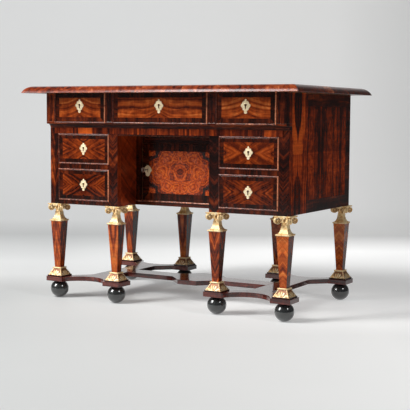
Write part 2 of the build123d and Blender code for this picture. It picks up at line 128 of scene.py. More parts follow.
class Shader:
    """One material's node tree, with a short call for each kind of node that the finishes need."""

    def __init__(self, name):
        self.material = bpy.data.materials.new(name)
        self.material.use_nodes = True
        self.tree = self.material.node_tree
        self.surface = self.tree.nodes["Principled BSDF"]

    def plug(self, value, socket):
        if isinstance(value, Signal):
            self.tree.links.new(value.socket, socket)
        else:
            socket.default_value = (*value, 1) if socket.type == "RGBA" else value

    def node(self, kind, inputs=(), out=0, **settings):
        """Adds a node with its settings and its inputs, by name or in order, and gives one output."""
        made = self.tree.nodes.new(kind)
        for key, value in settings.items():
            setattr(made, key, value)
        for key, value in inputs.items() if isinstance(inputs, dict) else enumerate(inputs):
            self.plug(value, made.inputs[key])
        return Signal(self, made.outputs[out])

    def laid(self, layer):
        """What each face carries: its grain (along, across), its spot on the panel, its tone or its depth."""
        return self.node("ShaderNodeUVMap", uv_map=layer)

    def place(self):
        return self.node("ShaderNodeTexCoord", out="Object")

    def ramp(self, value, stops, paint=linear):
        """Runs a value through the colours of the stops, given as (place, red, green, blue)."""
        made = self.node("ShaderNodeValToRGB", (value,))
        elements = made.socket.node.color_ramp.elements
        while len(elements) < len(stops):
            elements.new(0.5)
        for element, (place, *colour) in zip(elements, stops):
            element.position = place
            element.color = (*paint(*colour), 1)
        return made

    def levels(self, value, stops):
        """A plain number that runs through the stops, given as (value, number)."""
        low, high = stops[0][0], stops[-1][0]
        shares = [((place - low) / (high - low), number) for place, number in stops]
        return self.ramp(value.span(low, high), shares, lambda number: (number, number, number))

    def mix(self, amount, one, other, how="MIX"):
        inputs = {0: amount, 6: one, 7: other}
        return self.node("ShaderNodeMix", inputs, 2, data_type="RGBA", blend_type=how)

    def stain(self, colour, amount, *screen):
        return self.mix(amount, colour, linear(*screen))

    def lit(self, colour, light):
        """The colour times a number."""
        grey = self.node("ShaderNodeCombineColor", (light, light, light))
        return self.mix(1.0, colour, grey, "MULTIPLY")

    def relief(self, height, depth, strength):
        inputs = {"Strength": strength, "Distance": depth, "Height": height}
        self.plug(self.node("ShaderNodeBump", inputs), self.surface.inputs["Normal"])

    def finish(self, colour, roughness, **inputs):
        for key, value in {"Base_Color": colour, "Roughness": roughness, **inputs}.items():
            self.plug(value, self.surface.inputs[key.replace("_", " ")])
        return self.material


def frieze_sweep(s, grain):
    """Bends the figure so that it falls away from the keyhole to both sides."""
    side, _ = s.laid("spot").split()
    steepness, drop = -30.0, -0.024
    return grain.shift((side * steepness).math("EXPONENT") * drop), 0.0


def side_flame(s, grain):
    """A tall flame in the front leaf of each side: two bright arms that meet at a bright tongue."""
    spot = s.laid("spot")
    side, rise = spot.split()
    tall = rise.math("ABSOLUTE")
    sway = spot.noise((30, 9, 1)).span(0.2, 0.8, -0.009, 0.009)
    core = side + (tall.span(0.030, 0.112, 0.002, -0.029) + sway)
    rim = side + (tall.span(0.0, 0.18, -0.040, -0.064) + sway)
    inside = core.span(-0.006, 0.002, 1.0, 0.0)
    beyond = rim.span(-0.006, 0.008)
    arm = (inside * -1.0 + 1.0) * (beyond * -1.0 + 1.0)
    bright = arm * rise.span(-0.004, 0.002, 0.04, 0.27)
    hollow = inside * rise.span(-0.01, 0.01, -0.13, -0.19)
    return grain, bright + (hollow + beyond * -0.05)


def veneer(
    name, stops, streaks, waves=0.007, curl=0.3, reach=2.4, polish=0.12, coat=0.08, shine=0.4, shape=None
):
    """French-polished veneer: streaks along the grain, fine lines, pores and a cross figure."""
    s = Shader(name)
    grain = s.laid("grain")
    tone, _ = s.laid("tone").split()
    if shape:
        grain, extra = shape(s, grain)
        tone = tone + extra
    bent = grain.shift(grain.noise((7, 16, 1), 2).span(0.2, 0.8, -waves, waves))
    broad = bent.noise((reach, streaks, 1), 4, 0.62, distortion=0.35)
    patches = grain.noise((5, 11, 1), 1).span(0.3, 0.7, -0.09, 0.09)
    mottle = grain.noise((34, 46, 1), 3, 0.6, distortion=0.6).span(0.25, 0.75, -0.1, 0.1)
    colour = s.ramp(broad + patches + tone + mottle, stops)
    lines = bent.noise((16, 700, 1), 3, 0.7)
    flame = grain.noise((95, 13, 1), 2).span(0.3, 0.7, 1 - curl, 1 + curl * 0.7)
    colour = s.lit(colour, lines.span(0.3, 0.7, 0.66, 1.26) * flame)
    pores = bent.noise((150, 3200, 1), 2).span(0.60, 0.70)
    colour = s.stain(colour, pores * 0.5, 14, 6, 5)
    s.relief(lines + pores * -0.8, 0.00006, 0.5)
    wear = s.place().noise((9, 9, 9), 4)
    return s.finish(
        colour, wear.span(0.3, 0.75, polish, polish + 0.10),
        Coat_Weight=coat, Coat_Roughness=0.06, Specular_IOR_Level=shine,
    )


def eyed_veneer(name):
    """Burr on the edge of the top: red and orange clouds with small ringed eyes, polished."""
    s = Shader(name)
    grain = s.laid("grain")
    tone, _ = s.laid("tone").split()
    warp = grain.noise((60, 60, 1), 3)
    bent = grain.shift(warp.span(0.2, 0.8, -0.006, 0.006))
    far = s.node("ShaderNodeTexVoronoi", {"Vector": bent.scaled((62, 48, 1)), "Scale": 1.0}, feature="F1")
    ring = (far * 34.0).math("SINE") * far.span(0.05, 0.5, 0.13, 0.0)
    clouds = grain.noise((38, 38, 1), 5, 0.65, distortion=0.8)
    colour = s.ramp(clouds + ring + far.span(0.0, 0.16, 0.16, 0.0) + tone, EDGE)
    colour = s.lit(colour, grain.noise((420, 900, 1), 2).span(0.3, 0.7, 0.75, 1.2))
    s.relief(clouds, 0.00005, 0.3)
    return s.finish(
        colour, warp.span(0.3, 0.7, 0.2, 0.28), Coat_Weight=0.08, Coat_Roughness=0.12, Specular_IOR_Level=0.32
    )


BURR_LOBES = (  # of a quarter of the flower: across, up, half width and half height
    (0.0, 0.0, 0.036, 0.040), (0.080, 0.0, 0.056, 0.052),
    (0.054, 0.050, 0.040, 0.036), (0.015, 0.056, 0.028, 0.030),
)


def burr(name):
    """Burr on the door: ringed lobes round a small dark eye, dark between them and the corners."""

    def reach(one, other):
        return (one * one + other * other).math("SQRT")

    s = Shader(name)
    spot = s.laid("spot")
    warp = spot.noise((34, 34, 1), 4)
    curls = spot.noise((105, 105, 1), 4, 0.65, distortion=1.8)
    side, rise = spot.split()
    rise = rise.math("ABSOLUTE")
    nearest = None
    for across, up, half, tall in BURR_LOBES:
        far = reach((side + -across) * (1 / half), (rise + -up) * (1 / tall))
        nearest = nearest.math("MINIMUM", far) if nearest else far
    nearest = nearest + warp.span(0.2, 0.8, -0.36, 0.36)
    ring = (nearest * 19.0).math("SINE").span(-1.0, 0.6, -0.10, 0.04)
    outline = nearest.span(0.72, 0.92, 0.0, -0.13) * nearest.span(0.92, 1.0, 1.0, 0.4)
    beyond = nearest.span(0.98, 1.16, 0.0, -0.34)
    corner = side.span(0.104, 0.107).math("MINIMUM", rise.span(0.057, 0.060))
    eye = reach(side, rise).span(0.006, 0.022, -0.2, 0.0)
    figure = ring + curls.span(0.25, 0.75, -0.22, 0.22) + outline + 0.52 + eye
    colour = s.ramp(figure + beyond.math("MAXIMUM", (corner + -1.0) * 0.34), BURR)
    colour = s.stain(colour, spot.noise((900, 900, 1), 2).span(0.62, 0.74, 0.0, 0.5), 40, 10, 3)
    s.relief(curls, 0.00008, 0.4)
    return s.finish(colour, warp.span(0.3, 0.7, 0.2, 0.32), Coat_Weight=0.2, Coat_Roughness=0.07)


def plain_oak(name, use_grain=True):
    """Oiled oak: growth rings, long pores and a little dirt."""
    s = Shader(name)
    grain = s.laid("grain") if use_grain else s.place().scaled((1, 1, 1), (0, 0, math.radians(90)))
    bent = grain.shift(grain.noise((5, 9, 9), 2).span(0.2, 0.8, -0.006, 0.006))
    rings = bent.noise((2, 130, 40), 4, 0.6)
    colour = s.ramp(rings, ((0.3, 92, 60, 33), (0.5, 134, 92, 54), (0.7, 166, 120, 74)))
    pores = bent.noise((60, 2200, 900), 2).span(0.58, 0.68, 0.0, 0.7)
    dirt = s.place().noise((6, 6, 6), 4)
    colour = s.stain(s.stain(colour, pores, 58, 35, 18), dirt.span(0.45, 0.8, 0.0, 0.45), 70, 46, 27)
    s.relief(rings + pores * -1.0, 0.00015, 0.6)
    return s.finish(colour, dirt.span(0.3, 0.7, 0.5, 0.7))


def gilding(name):
    """Water gilding over red bole: bright on the rises, dark and red in the cuts, where bole and patina show
    and shade is painted in, rubbed here and there.
    """
    s = Shader(name)
    depth, _ = s.laid("depth").split()
    clouds = s.place().noise((70, 70, 70), 4, 0.6)
    colour = s.ramp(clouds, ((0.3, 222, 168, 100), (0.5, 249, 218, 160), (0.7, 254, 240, 206)))
    # Painted shade with bole and patina: the deeper the carving, the darker and redder the gold.
    colour = s.stain(colour, depth.span(0.2, 0.85, 0.0, 0.95), 112, 56, 22)
    rub = s.place().noise((150, 150, 150), 3)
    colour = s.stain(colour, rub.span(0.54, 0.68, 0.0, 0.5), 186, 110, 62)
    s.relief(clouds + rub, 0.0005, 0.3)
    return s.finish(colour, clouds.span(0.3, 0.7, 0.50, 0.40), Metallic=0.38)


def metal(name, stops, roughness, metallic=1.0):
    """A worked metal with uneven colour and polish."""
    s = Shader(name)
    clouds = s.place().noise((180, 180, 180), 4, 0.6)
    scratches = s.place().noise((360, 3600, 2520), 2)
    s.relief(clouds + scratches, 0.0001, 0.3)
    return s.finish(
        s.ramp(clouds, stops), scratches.span(0.3, 0.7, roughness, roughness + 0.15), Metallic=metallic
    )


def ebony(name):
    """Black polished pearwood, with faint turning lines."""
    s = Shader(name)
    dust = s.place().noise((45, 45, 45), 4)
    colour = s.ramp(dust, ((0.3, 30, 31, 30), (0.6, 43, 45, 44), (0.8, 60, 62, 60)))
    s.relief(s.place().noise((12, 12, 900), 2), 0.0001, 0.35)
    return s.finish(
        colour, dust.span(0.3, 0.7, 0.20, 0.27), Coat_Weight=1.0, Coat_IOR=1.6, Coat_Roughness=0.08
    )


FIELD = ((0.26, 44, 10, 2), (0.38, 94, 30, 5), (0.50, 142, 56, 14), (0.62, 182, 84, 30), (0.76, 216, 124, 62))
SIDE = ((0.28, 22, 8, 5), (0.40, 66, 20, 7), (0.52, 120, 40, 10), (0.64, 180, 66, 16), (0.76, 212, 90, 26))
LEG = ((0.26, 52, 14, 4), (0.38, 112, 38, 9), (0.50, 168, 70, 20), (0.62, 208, 102, 36), (0.76, 228, 136, 66))
DARK = ((0.30, 22, 8, 6), (0.44, 52, 16, 8), (0.56, 92, 32, 11), (0.68, 146, 62, 22), (0.82, 196, 98, 40))
BAND = ((0.30, 24, 8, 4), (0.46, 50, 16, 6), (0.62, 82, 28, 9), (0.80, 124, 50, 18))
STRIP = ((0.30, 48, 13, 6), (0.46, 88, 28, 9), (0.60, 126, 46, 13), (0.78, 182, 74, 20), (0.92, 206, 92, 28))
KNEE = ((0.26, 58, 18, 8), (0.40, 108, 36, 12), (0.54, 150, 54, 18), (0.70, 186, 78, 30))
EDGE = ((0.28, 42, 10, 4), (0.40, 88, 26, 8), (0.52, 128, 48, 18), (0.64, 164, 76, 36), (0.80, 220, 142, 92))
BURR = ((0.12, 32, 12, 8), (0.28, 78, 24, 9), (0.42, 146, 50, 13), (0.55, 200, 80, 22), (0.72, 230, 126, 52))
STRETCHER = ((0.30, 36, 15, 15), (0.46, 74, 30, 26), (0.58, 104, 44, 36), (0.74, 140, 68, 52))
BEAD = ((0.3, 66, 24, 12), (0.5, 122, 54, 30), (0.72, 214, 132, 94))
STRING = ((0.3, 150, 104, 58), (0.5, 188, 142, 86), (0.7, 214, 172, 112))
BRASS = ((0.3, 236, 206, 150), (0.5, 252, 232, 190), (0.7, 255, 243, 216))
IRON = ((0.3, 120, 114, 106), (0.5, 160, 154, 146), (0.7, 192, 188, 180))

dark_veneer = veneer("dark_veneer", DARK, streaks=70)
banding = veneer("banding", BAND, streaks=55, curl=0.25)
strip_veneer = veneer("strip_veneer", STRIP, streaks=55, curl=0.2)
field_veneer = veneer("field_veneer", FIELD, streaks=95, waves=0.008)
frieze_veneer = veneer("frieze_veneer", FIELD, streaks=70, waves=0.009, shape=frieze_sweep)
side_veneer = veneer("side_veneer", SIDE, streaks=24, reach=1.3, coat=0.0, shine=0.2)
flame_veneer = veneer("flame_veneer", SIDE, streaks=50, reach=1.3, coat=0.0, shine=0.2, shape=side_flame)
knee_veneer = veneer("knee_veneer", KNEE, streaks=60, polish=0.3, coat=0.0, shine=0.2)
shade_veneer = veneer("shade_veneer", DARK, streaks=60, polish=0.4, coat=0.0, shine=0.15)
edge_veneer = eyed_veneer("edge_veneer")
stretcher_veneer = veneer("stretcher_veneer", STRETCHER, streaks=60, coat=0.5)
leg_veneer = veneer("leg_veneer", LEG, streaks=85, coat=0.0, shine=0.3)
bead_wood = veneer("bead_wood", BEAD, streaks=120, polish=0.3, coat=0.3)
stringing = veneer("stringing", STRING, streaks=200, curl=0.1)
burr_veneer = burr("burr_veneer")
oak = plain_oak("oak")
cad_oak = plain_oak("oak_boards", use_grain=False)
gilt = gilding("gilt_wood")
brass = metal("gilt_brass", BRASS, 0.34, metallic=0.35)
iron = metal("iron", IRON, 0.35)
black = ebony("ebonised_wood")
SLOTS = {
    oak: "oak", gilt: "gilt_wood", brass: "gilt_brass", iron: "iron", black: "ebonised_wood",
    burr_veneer: "burr_veneer",
}


# ---- Mesh helpers
class Lay:
    """How a veneer lies on a face: its directions along and across the grain, and where it was cut."""

    def __init__(self, along, across, origin=(0, 0, 0), material=0, shift=(0, 0), tone=0.0, spot=None):
        self.along, self.across = along.normalized(), across.normalized()
        self.origin = Vector(origin)
        self.material, self.shift, self.tone = material, shift, tone
        self.spot = spot or self.at

    def at(self, point):
        offset = point - self.origin
        return offset.dot(self.along) + self.shift[0], offset.dot(self.across) + self.shift[1]


def anywhere():
    """A random place in the log, so that no two pieces have the same figure."""
    return chance.uniform(-9, 9), chance.uniform(-9, 9)


def corners_of(bm, layer, value):
    """Writes a pair of numbers on every corner of every face."""
    uv = bm.loops.layers.uv.new(layer)
    for face in bm.faces:
        for loop in face.loops:
            loop[uv].uv = value(loop)


def write_lays(bm, lay):
    """Writes each face's material, grain, spot and tone from its Lay."""
    cuts = {face: lay(face.calc_center_median(), face.normal) for face in bm.faces}
    corners_of(bm, "grain", lambda loop: cuts[loop.face].at(loop.vert.co))
    corners_of(bm, "spot", lambda loop: cuts[loop.face].spot(loop.vert.co))
    corners_of(bm, "tone", lambda loop: (cuts[loop.face].tone, 0))
    for face, cut in cuts.items():
        face.material_index = cut.material


def link(name, data):
    made = bpy.data.objects.new(name, data)
    bpy.context.scene.collection.objects.link(made)
    return made


def piece(bm, name, body, nodes, materials, lay=None, smooth=None):
    """Turns a bmesh into a piece that rides on a body and stands for CAD nodes.

    A smooth piece has its faces turned outward, and is sharp where they meet at more than that many degrees.
    """
    if smooth:
        bmesh.ops.recalc_face_normals(bm, faces=bm.faces)
    bm.normal_update()
    if lay:
        write_lays(bm, lay)
    carved = bm.verts.layers.float.get("depth")
    if carved is not None:
        corners_of(bm, "depth", lambda loop: (loop.vert[carved], 0))
    mesh = bpy.data.meshes.new(name)
    bm.to_mesh(mesh)
    bm.free()
    for material in materials:
        mesh.materials.append(material)
    if smooth:
        mesh.shade_smooth()
        mesh.set_sharp_from_angle(angle=math.radians(smooth))
    made = link(name, mesh)
    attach(made, body)
    if nodes:
        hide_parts(*nodes)
    SLOTS.get(materials[0], "rosewood_veneer")
    return made


def add_board(bm, lo, hi, cuts=(), soft=0.0006):
    """A board with eased edges; the cuts are (point, normal) planes that part it into veneers."""
    lo, hi = Vector(lo), Vector(hi)
    size = hi - lo
    where = Matrix.Translation((lo + hi) / 2) @ Matrix.Diagonal((*size, 1))
    made = bmesh.ops.create_cube(bm, size=1, matrix=where)
    edges = list(dict.fromkeys(edge for vert in made["verts"] for edge in vert.link_edges))
    soft = min(soft, min(size) * 0.3)
    rounded = bmesh.ops.bevel(bm, geom=edges, offset=soft, segments=2, profile=0.5, affect="EDGES")
    verts = dict.fromkeys(vert for face in rounded["faces"] for vert in face.verts)
    for point, normal in cuts:
        near = dict.fromkeys(verts)
        for vert in verts:
            near.update(dict.fromkeys([*vert.link_edges, *vert.link_faces]))
        cut = bmesh.ops.bisect_plane(bm, geom=list(near), plane_co=Vector(point), plane_no=normal, dist=1e-6)
        verts.update(dict.fromkeys(item for item in cut["geom_cut"] if isinstance(item, bmesh.types.BMVert)))


def boards(name, node, materials, lay, made_of, soft=0.0006):
    """A piece on the desk that is built of boards, each given as (low corner, high corner, cuts)."""
    bm = bmesh.new()
    for board in made_of:
        add_board(bm, *board, soft=soft)
    piece(bm, name, "desk", [node], materials, lay)


def arc(middle, radii, start, end, steps):
    """Points along an arc of an ellipse, from one turn to another in degrees."""
    turns = [math.radians(start + (end - start) * i / steps) for i in range(steps + 1)]
    return [(middle[0] + math.cos(turn) * radii[0], middle[1] + math.sin(turn) * radii[1]) for turn in turns]


def both(inside, outside):
    """The left and right x of what stands on the left half of the desk, and on the right half."""
    return (-outside, -inside), (inside, outside)


def stack_rings(bm, rings, closed=True):
    """Skins a stack of rings of points, and closes its two ends."""
    for one, other in zip(rings, rings[1:]):
        for i in range(len(one)):
            j = (i + 1) % len(one)
            bm.faces.new((one[i], one[j], other[j], other[i]))
    if closed:
        bm.faces.new(rings[0][::-1])
        bm.faces.new(rings[-1])


def keyhole_outline(grow=1.0):
    """The keyhole's outline about the middle of its round part."""
    half, radius, drop = keyhole_slot / 2 * grow, keyhole_radius * grow, keyhole_drop * grow
    gape = math.degrees(math.asin(half / radius))
    return [*arc((0, 0), (radius, radius), gape - 90, 270 - gape, 10), (-half, -drop), (half, -drop)]


def pierced(bm, place, thick):
    """The same board with a keyhole cut through it."""
    cutter = bmesh.new()
    rings = []
    for y in (place.y + thick * 1.5, place.y - thick * 0.5):
        rings.append([cutter.verts.new((place.x + x, y, place.z + z)) for x, z in keyhole_outline()])
    stack_rings(cutter, rings)
    bmesh.ops.recalc_face_normals(cutter, faces=cutter.faces)
    made = []
    for source in (bm, cutter):
        mesh = bpy.data.meshes.new("cutting")
        source.to_mesh(mesh)
        source.free()
        made.append(link("cutting", mesh))
    hole = made[0].modifiers.new("keyhole", "BOOLEAN")
    hole.object, hole.operation, hole.solver = made[1], "DIFFERENCE", "EXACT"
    bpy.context.view_layer.update()
    cut = bpy.data.meshes.new_from_object(made[0].evaluated_get(bpy.context.evaluated_depsgraph_get()))
    result = bmesh.new()
    result.from_mesh(cut)
    for mesh in (cut, *[used.data for used in made]):
        bpy.data.meshes.remove(mesh)
    return result


def solid_wood(along, material=0, shift=None):
    """Every face of a board, with the grain one way."""
    shift = shift or anywhere()

    def lay(centre, normal):
        side = max((X, Y, Z), key=lambda axis: abs(normal.dot(axis)))
        way = along if side != along else (X if side == Y else Y)
        return Lay(way, side.cross(way), material=material, shift=shift)

    return lay


def faced(facing, design, rest):
    """A board with a design on the face that looks one way, and the rest laid otherwise."""
    return lambda centre, normal: design(centre) if normal.dot(facing) > 0.5 else rest(centre, normal)


class Panel:
    """A flat veneered face: a mitred crossbanded border round a field that is quartered, halved or plain."""

    def __init__(
        self, centre, a, b, half_a, half_b, border, split="quarters", angle=0.0, tones=(0, 0, 0, 0), tone=0.0
    ):
        self.centre, self.a, self.b = Vector(centre), a, b
        self.half_a, self.half_b, self.border = half_a, half_b, border
        self.split, self.angle, self.tones, self.tone = split, angle, tones, tone
        self.shifts = [anywhere() for _ in range(5)]

    def cuts(self):
        a, b, made = self.a, self.b, []
        for sign in (-1, 1):
            made.append((self.centre + sign * (self.half_a - self.border) * a, a))
            made.append((self.centre + sign * (self.half_b - self.border) * b, b))
            for way in (1, -1):
                corner = self.centre + way * self.half_a * a + sign * self.half_b * b
                made.append((corner, a - way * sign * b))
        joints = {"plain": (), "halves": (a,), "quarters": (a, b)}[self.split]
        return made + [(self.centre, normal) for normal in joints]

    def spot(self, point):
        offset = point - self.centre
        return abs(offset.dot(self.a)), offset.dot(self.b)

    def lay(self, point):
        offset = point - self.centre
        x, y = offset.dot(self.a), offset.dot(self.b)
        edge_x, edge_y = self.half_a - abs(x), self.half_b - abs(y)
        if min(edge_x, edge_y) < self.border:
            upright = edge_x < edge_y
            side = int(x > 0) if upright else 2 + int(y > 0)
            ways = (self.a, self.b) if upright else (self.b, self.a)
            return Lay(*ways, self.centre, 0, self.shifts[1 + side], self.tones[side])
        sx = 1 if self.split == "plain" else math.copysign(1, x)
        sy = math.copysign(1, y) if self.split == "quarters" else 1
        along = sx * math.cos(self.angle) * self.a + sy * math.sin(self.angle) * self.b
        across = -sx * math.sin(self.angle) * self.a + sy * math.cos(self.angle) * self.b
        return Lay(along, across, self.centre, 1, self.shifts[0], self.tone, self.spot)


def sweep_length(bm, profile, start, end, out, up, mitres, pieces, cut):
    """Sweeps a moulding's profile, given as (out, up) points, from start to end in short veneers.

    The cut gives the place in the log and the tone of the veneer at a point.
    """
    layers = bm.loops.layers.uv
    grain, tone = (layers.get(name) or layers.new(name) for name in ("grain", "tone"))
    length = (end - start).length
    way = (end - start).normalized()
    rows = []
    for step in range(pieces + 1):
        row = []
        for reach, rise in profile:
            mitre = mitres[0] * reach if step == 0 else -mitres[1] * reach if step == pieces else 0
            row.append(bm.verts.new(start + way * (length * step / pieces + mitre) + out * reach + up * rise))
        rows.append(row)
    girth = [0.0]
    for one, other in zip(profile, profile[1:]):
        girth.append(girth[-1] + math.dist(one, other))
    for step in range(pieces):
        shift, colour = cut(start + way * length * (step + 0.5) / pieces)
        for j in range(len(profile) - 1):
            corners = [(step, j), (step + 1, j), (step + 1, j + 1), (step, j + 1)]
            face = bm.faces.new([rows[row][place] for row, place in corners])
            for loop, (row, place) in zip(face.loops, corners):
                loop[grain].uv = (girth[place] + shift[0], length * row / pieces + shift[1])
                loop[tone].uv = (colour, 0)
    bm.faces.new(rows[0])
    bm.faces.new(rows[-1][::-1])


# ---- The top: quartered panels in crossbanding, with light stringing
def make_top():
    lo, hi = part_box("top_board")
    centre = Vector((0, 0, hi.z))
    half = (hi - lo) / 2
    border, inner_border, string = 0.052, 0.034, 0.0028
    middle_turn, wing_turn, middle_share = 0.75, 1.0, 0.36
    divide = half.x * middle_share
    tall = half.y - border - string
    wing = (half.x - border - string - divide - string / 2) / 2
    wing_x = divide + string / 2 + wing
    panels = [Panel(centre, X, Y, divide - string / 2, tall, inner_border, angle=middle_turn)]
    for sign in (-1, 1):
        panels.append(Panel(centre + sign * wing_x * X, X, Y, wing, tall, inner_border, angle=wing_turn))
    frame_band = Panel(centre, X, Y, half.x, half.y, border, "plain")
    cuts = frame_band.cuts()
    strings = [(half.x - border - string, X), (half.y - border - string, Y)]
    strings += [(divide - string / 2, X), (divide + string / 2, X)]
    cuts += [(centre + sign * reach * way, way) for sign in (-1, 1) for reach, way in strings]
    for panel in panels:
        cuts += panel.cuts()
    shift = anywhere()

    def design(point):
        if half.x - abs(point.x) < border or half.y - abs(point.y) < border:
            return frame_band.lay(point)
        for panel in panels:
            offset = point - panel.centre
            if abs(offset.x) < panel.half_a and abs(offset.y) < panel.half_b:
                return panel.lay(point)
        return Lay(X, Y, material=2, shift=shift)

    lay = faced(Z, design, solid_wood(X, 3))
    materials = [banding, field_veneer, stringing, oak]
    boards("veneered_top", "top_board", materials, lay, [(lo, hi, cuts)], 0.0002)


def make_top_edge():
    """The moulding round the top: a lip with a sloping head, and a long quarter round up to the flat."""
    lo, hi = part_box("top_edge_moulding")
    width = hi.x - high("top_board").x
    thick = hi.z - lo.z
    inset, lip_high, lip_slope, nose = 0.035, 0.0055, 0.0024, 0.001
    profile = [(width, 0.0), *arc((nose, nose), (nose, nose), -90, -180, 5), (lip_slope, lip_high)]
    run, rise = inset - lip_slope, thick - lip_high
    radius = (run * run + rise * rise) / (2 * rise)
    sweep = math.degrees(math.asin(run / radius))
    profile += [*arc((inset, thick - radius), (radius, radius), 90 + sweep, 90, 14)[1:], (width, thick)]
    veneer_width, dark, bright, any_tone = 0.062, -0.10, 0.14, 0.07
    bright_run = (-0.075, -0.010)

    # Painted shade: the veneers on the right side of the edge are darker, all but one brighter run; the other
    # sides vary at random.
    def cut(point):
        if point.x < hi.x - width / 2:
            return anywhere(), chance.uniform(-any_tone, any_tone)
        return anywhere(), bright if bright_run[0] < point.y < bright_run[1] else dark

    bm = bmesh.new()
    corners = [(lo.x, lo.y), (hi.x, lo.y), (hi.x, hi.y), (lo.x, hi.y)]
    for i in range(4):
        start, end = (Vector((*corner, lo.z)) for corner in (corners[i], corners[(i + 1) % 4]))
        out = Z.cross((end - start).normalized())
        count = round((end - start).length / veneer_width)
        sweep_length(bm, profile, start, end, out, Z, (1, 1), count, cut)
    piece(bm, "top_edge", "desk", ["top_edge_moulding"], [edge_veneer], smooth=35)


# ---- Carcass
def make_sides():
    """The outer sides: a wide flamed leaf at the front, then matched leaves in a banded frame."""
    flame, to_middle, band, leaves, leaf_step = 0.125, 0.046, 0.044, 3, 0.07
    match, band_tone, leaf_tone = 0.565, -0.05, 0.03
    for label, facing in (("left", -X), ("right", X)):
        node = f"side_panel_{label}"
        lo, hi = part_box(node)
        start, end = lo.y + flame, hi.y - band
        middle = lo.y + to_middle
        bottom, top = lo.z + band, hi.z - band
        width = (end - start) / leaves
        cuts = [((0, start + i * width, 0), Y) for i in range(leaves + 1)]
        cuts += [((0, middle, 0), Y), ((0, 0, bottom), Z), ((0, 0, top), Z), ((0, 0, match), Z)]
        flame_shift, leaf_shift, band_shift = anywhere(), anywhere(), anywhere()

        def spot(place):
            return abs(place.y - middle), place.z - match

        def design(point):
            if point.y < start:
                way = math.copysign(1, point.y - middle)
                return Lay(Z, Y * way, (0, middle, match), 1, flame_shift, spot=spot)
            if point.y > end or point.z < bottom or point.z > top:
                return Lay(Y, Z, (0, end, match), 2, band_shift, band_tone)
            index = int((point.y - start) / width)
            way = 1 if index % 2 else -1
            rise = math.copysign(1, point.z - match)
            joint = start + (index + 1 if way < 0 else index) * width
            place = (leaf_shift[0], leaf_shift[1] + index // 2 * leaf_step)
            return Lay(Z * rise, Y * way, (0, joint, match), 0, place, -leaf_tone * rise)

        materials = [side_veneer, flame_veneer, shade_veneer, oak]
        lay = faced(facing, design, solid_wood(Z, 3))
        boards(f"veneered_side_{label}", node, materials, lay, [(lo, hi, cuts)])


def make_inner_sides():
    """The knee hole's sides, in one leaf with a slanting figure."""
    slant = 0.8
    for label, facing in (("left", X), ("right", -X)):
        node = f"inner_side_{label}"
        leaf = Lay(Z * slant - Y, Y * slant + Z, shift=anywhere())
        lay = faced(facing, lambda point: leaf, solid_wood(Z, 1))
        boards(f"knee_side_{label}", node, [knee_veneer, oak], lay, [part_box(node)])


def make_back():
    """The back, of wide oak boards side by side."""
    lo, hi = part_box("back_panel")
    count = 4
    width = (hi.z - lo.z) / count
    made_of = [((lo.x, lo.y, lo.z + i * width), (hi.x, hi.y, lo.z + (i + 1) * width)) for i in range(count)]
    lays = [solid_wood(X) for _ in range(count)]

    def lay(centre, normal):
        return lays[min(count - 1, int((centre.z - lo.z) / width))](centre, normal)

    boards("oak_back", "back_panel", [oak], lay, made_of, 0.0015)


def make_front_frames():
    """Stiles in matched diagonal veneer, crossbanded rails, and the frieze's own frame."""
    posts = [*both(inner, bay_in), *both(bay_out, outer)]
    middles = [(x0 + x1) / 2 for x0, x1 in posts]
    stiles = [
        ((x0, front, carcass_low), (x1, frame_back, rail_high), [((middle, 0, 0), X)])
        for (x0, x1), middle in zip(posts, middles)
    ]
    shift = anywhere()
    steep, slanting = 0.25, 0.75
    side_tone, stile_tone, steep_tones, frieze_tone = -0.06, -0.08, (0.04, -0.10), 0.03

    def stile(point):
        middle = min(middles, key=lambda place: abs(place - point.x))
        way = math.copysign(1, point.x - middle)
        turn, tone = slanting, stile_tone
        if middle == min(middles):
            turn, tone = steep, steep_tones[way > 0]
        along = Vector((way * math.sin(turn), 0, math.cos(turn)))
        across = Vector((way * math.cos(turn), 0, -math.sin(turn)))
        return Lay(along, across, (middle, 0, 0), 0, (shift[0] + middle, shift[1]), tone)

    def shown_side(centre, normal):
        if abs(normal.x) > 0.5:
            return Lay(Z, Y, material=1 if abs(centre.x) > bay_out else 3, shift=shift, tone=side_tone)
        return solid_wood(X, 2, shift)(centre, normal)

    post_materials = [dark_veneer, side_veneer, oak, knee_veneer]
    boards("stiles", "pedestal_stiles", post_materials, faced(-Y, stile, shown_side), stiles)
    levels = ((carcass_low, lower_low), (lower_high, upper_low), (upper_high, rail_high))
    rails = [
        ((x0, front, bottom), (x1, frame_back, top))
        for x0, x1 in both(bay_in, bay_out) for bottom, top in levels
    ]
    rails.append(((-inner, front, upper_high), (inner, frame_back, rail_high)))
    cross = anywhere()

    def rail(point):
        return Lay(Z, X, shift=(cross[0] + point.z * 3, cross[1]))

    boards("rails", "front_rails", [banding, oak], faced(-Y, rail, solid_wood(X, 1)), rails)
    frame_boards = [((-outer, frieze_front, frieze_low), (outer, frame_back, frieze_floor))]
    frame_boards += [((x0, frieze_front, frieze_floor), (x1, frame_back, carcass_high)) for x0, x1 in posts]

    def frieze(point):
        if point.z < frieze_floor:
            return Lay(X, Z, shift=cross)
        return Lay(Z, X, shift=(shift[0], shift[1] + round(point.x, 1)), tone=frieze_tone)

    boards("frieze", "frieze_frame", post_materials, faced(-Y, frieze, shown_side), frame_boards)


def make_cove():
    """The hollow moulding under the frieze."""
    lo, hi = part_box("frieze_cove")
    reach, rise = front - lo.y, hi.z - lo.z
    profile = [(frame_back, hi.z), (frame_back, lo.z), *arc((front - reach, lo.z), (reach, rise), 0, 90, 12)]
    bm = bmesh.new()
    stack_rings(bm, [[bm.verts.new((x, y, z)) for y, z in profile] for x in (lo.x, hi.x)])
    piece(bm, "cove", "desk", ["frieze_cove"], [shade_veneer], solid_wood(X), smooth=40)


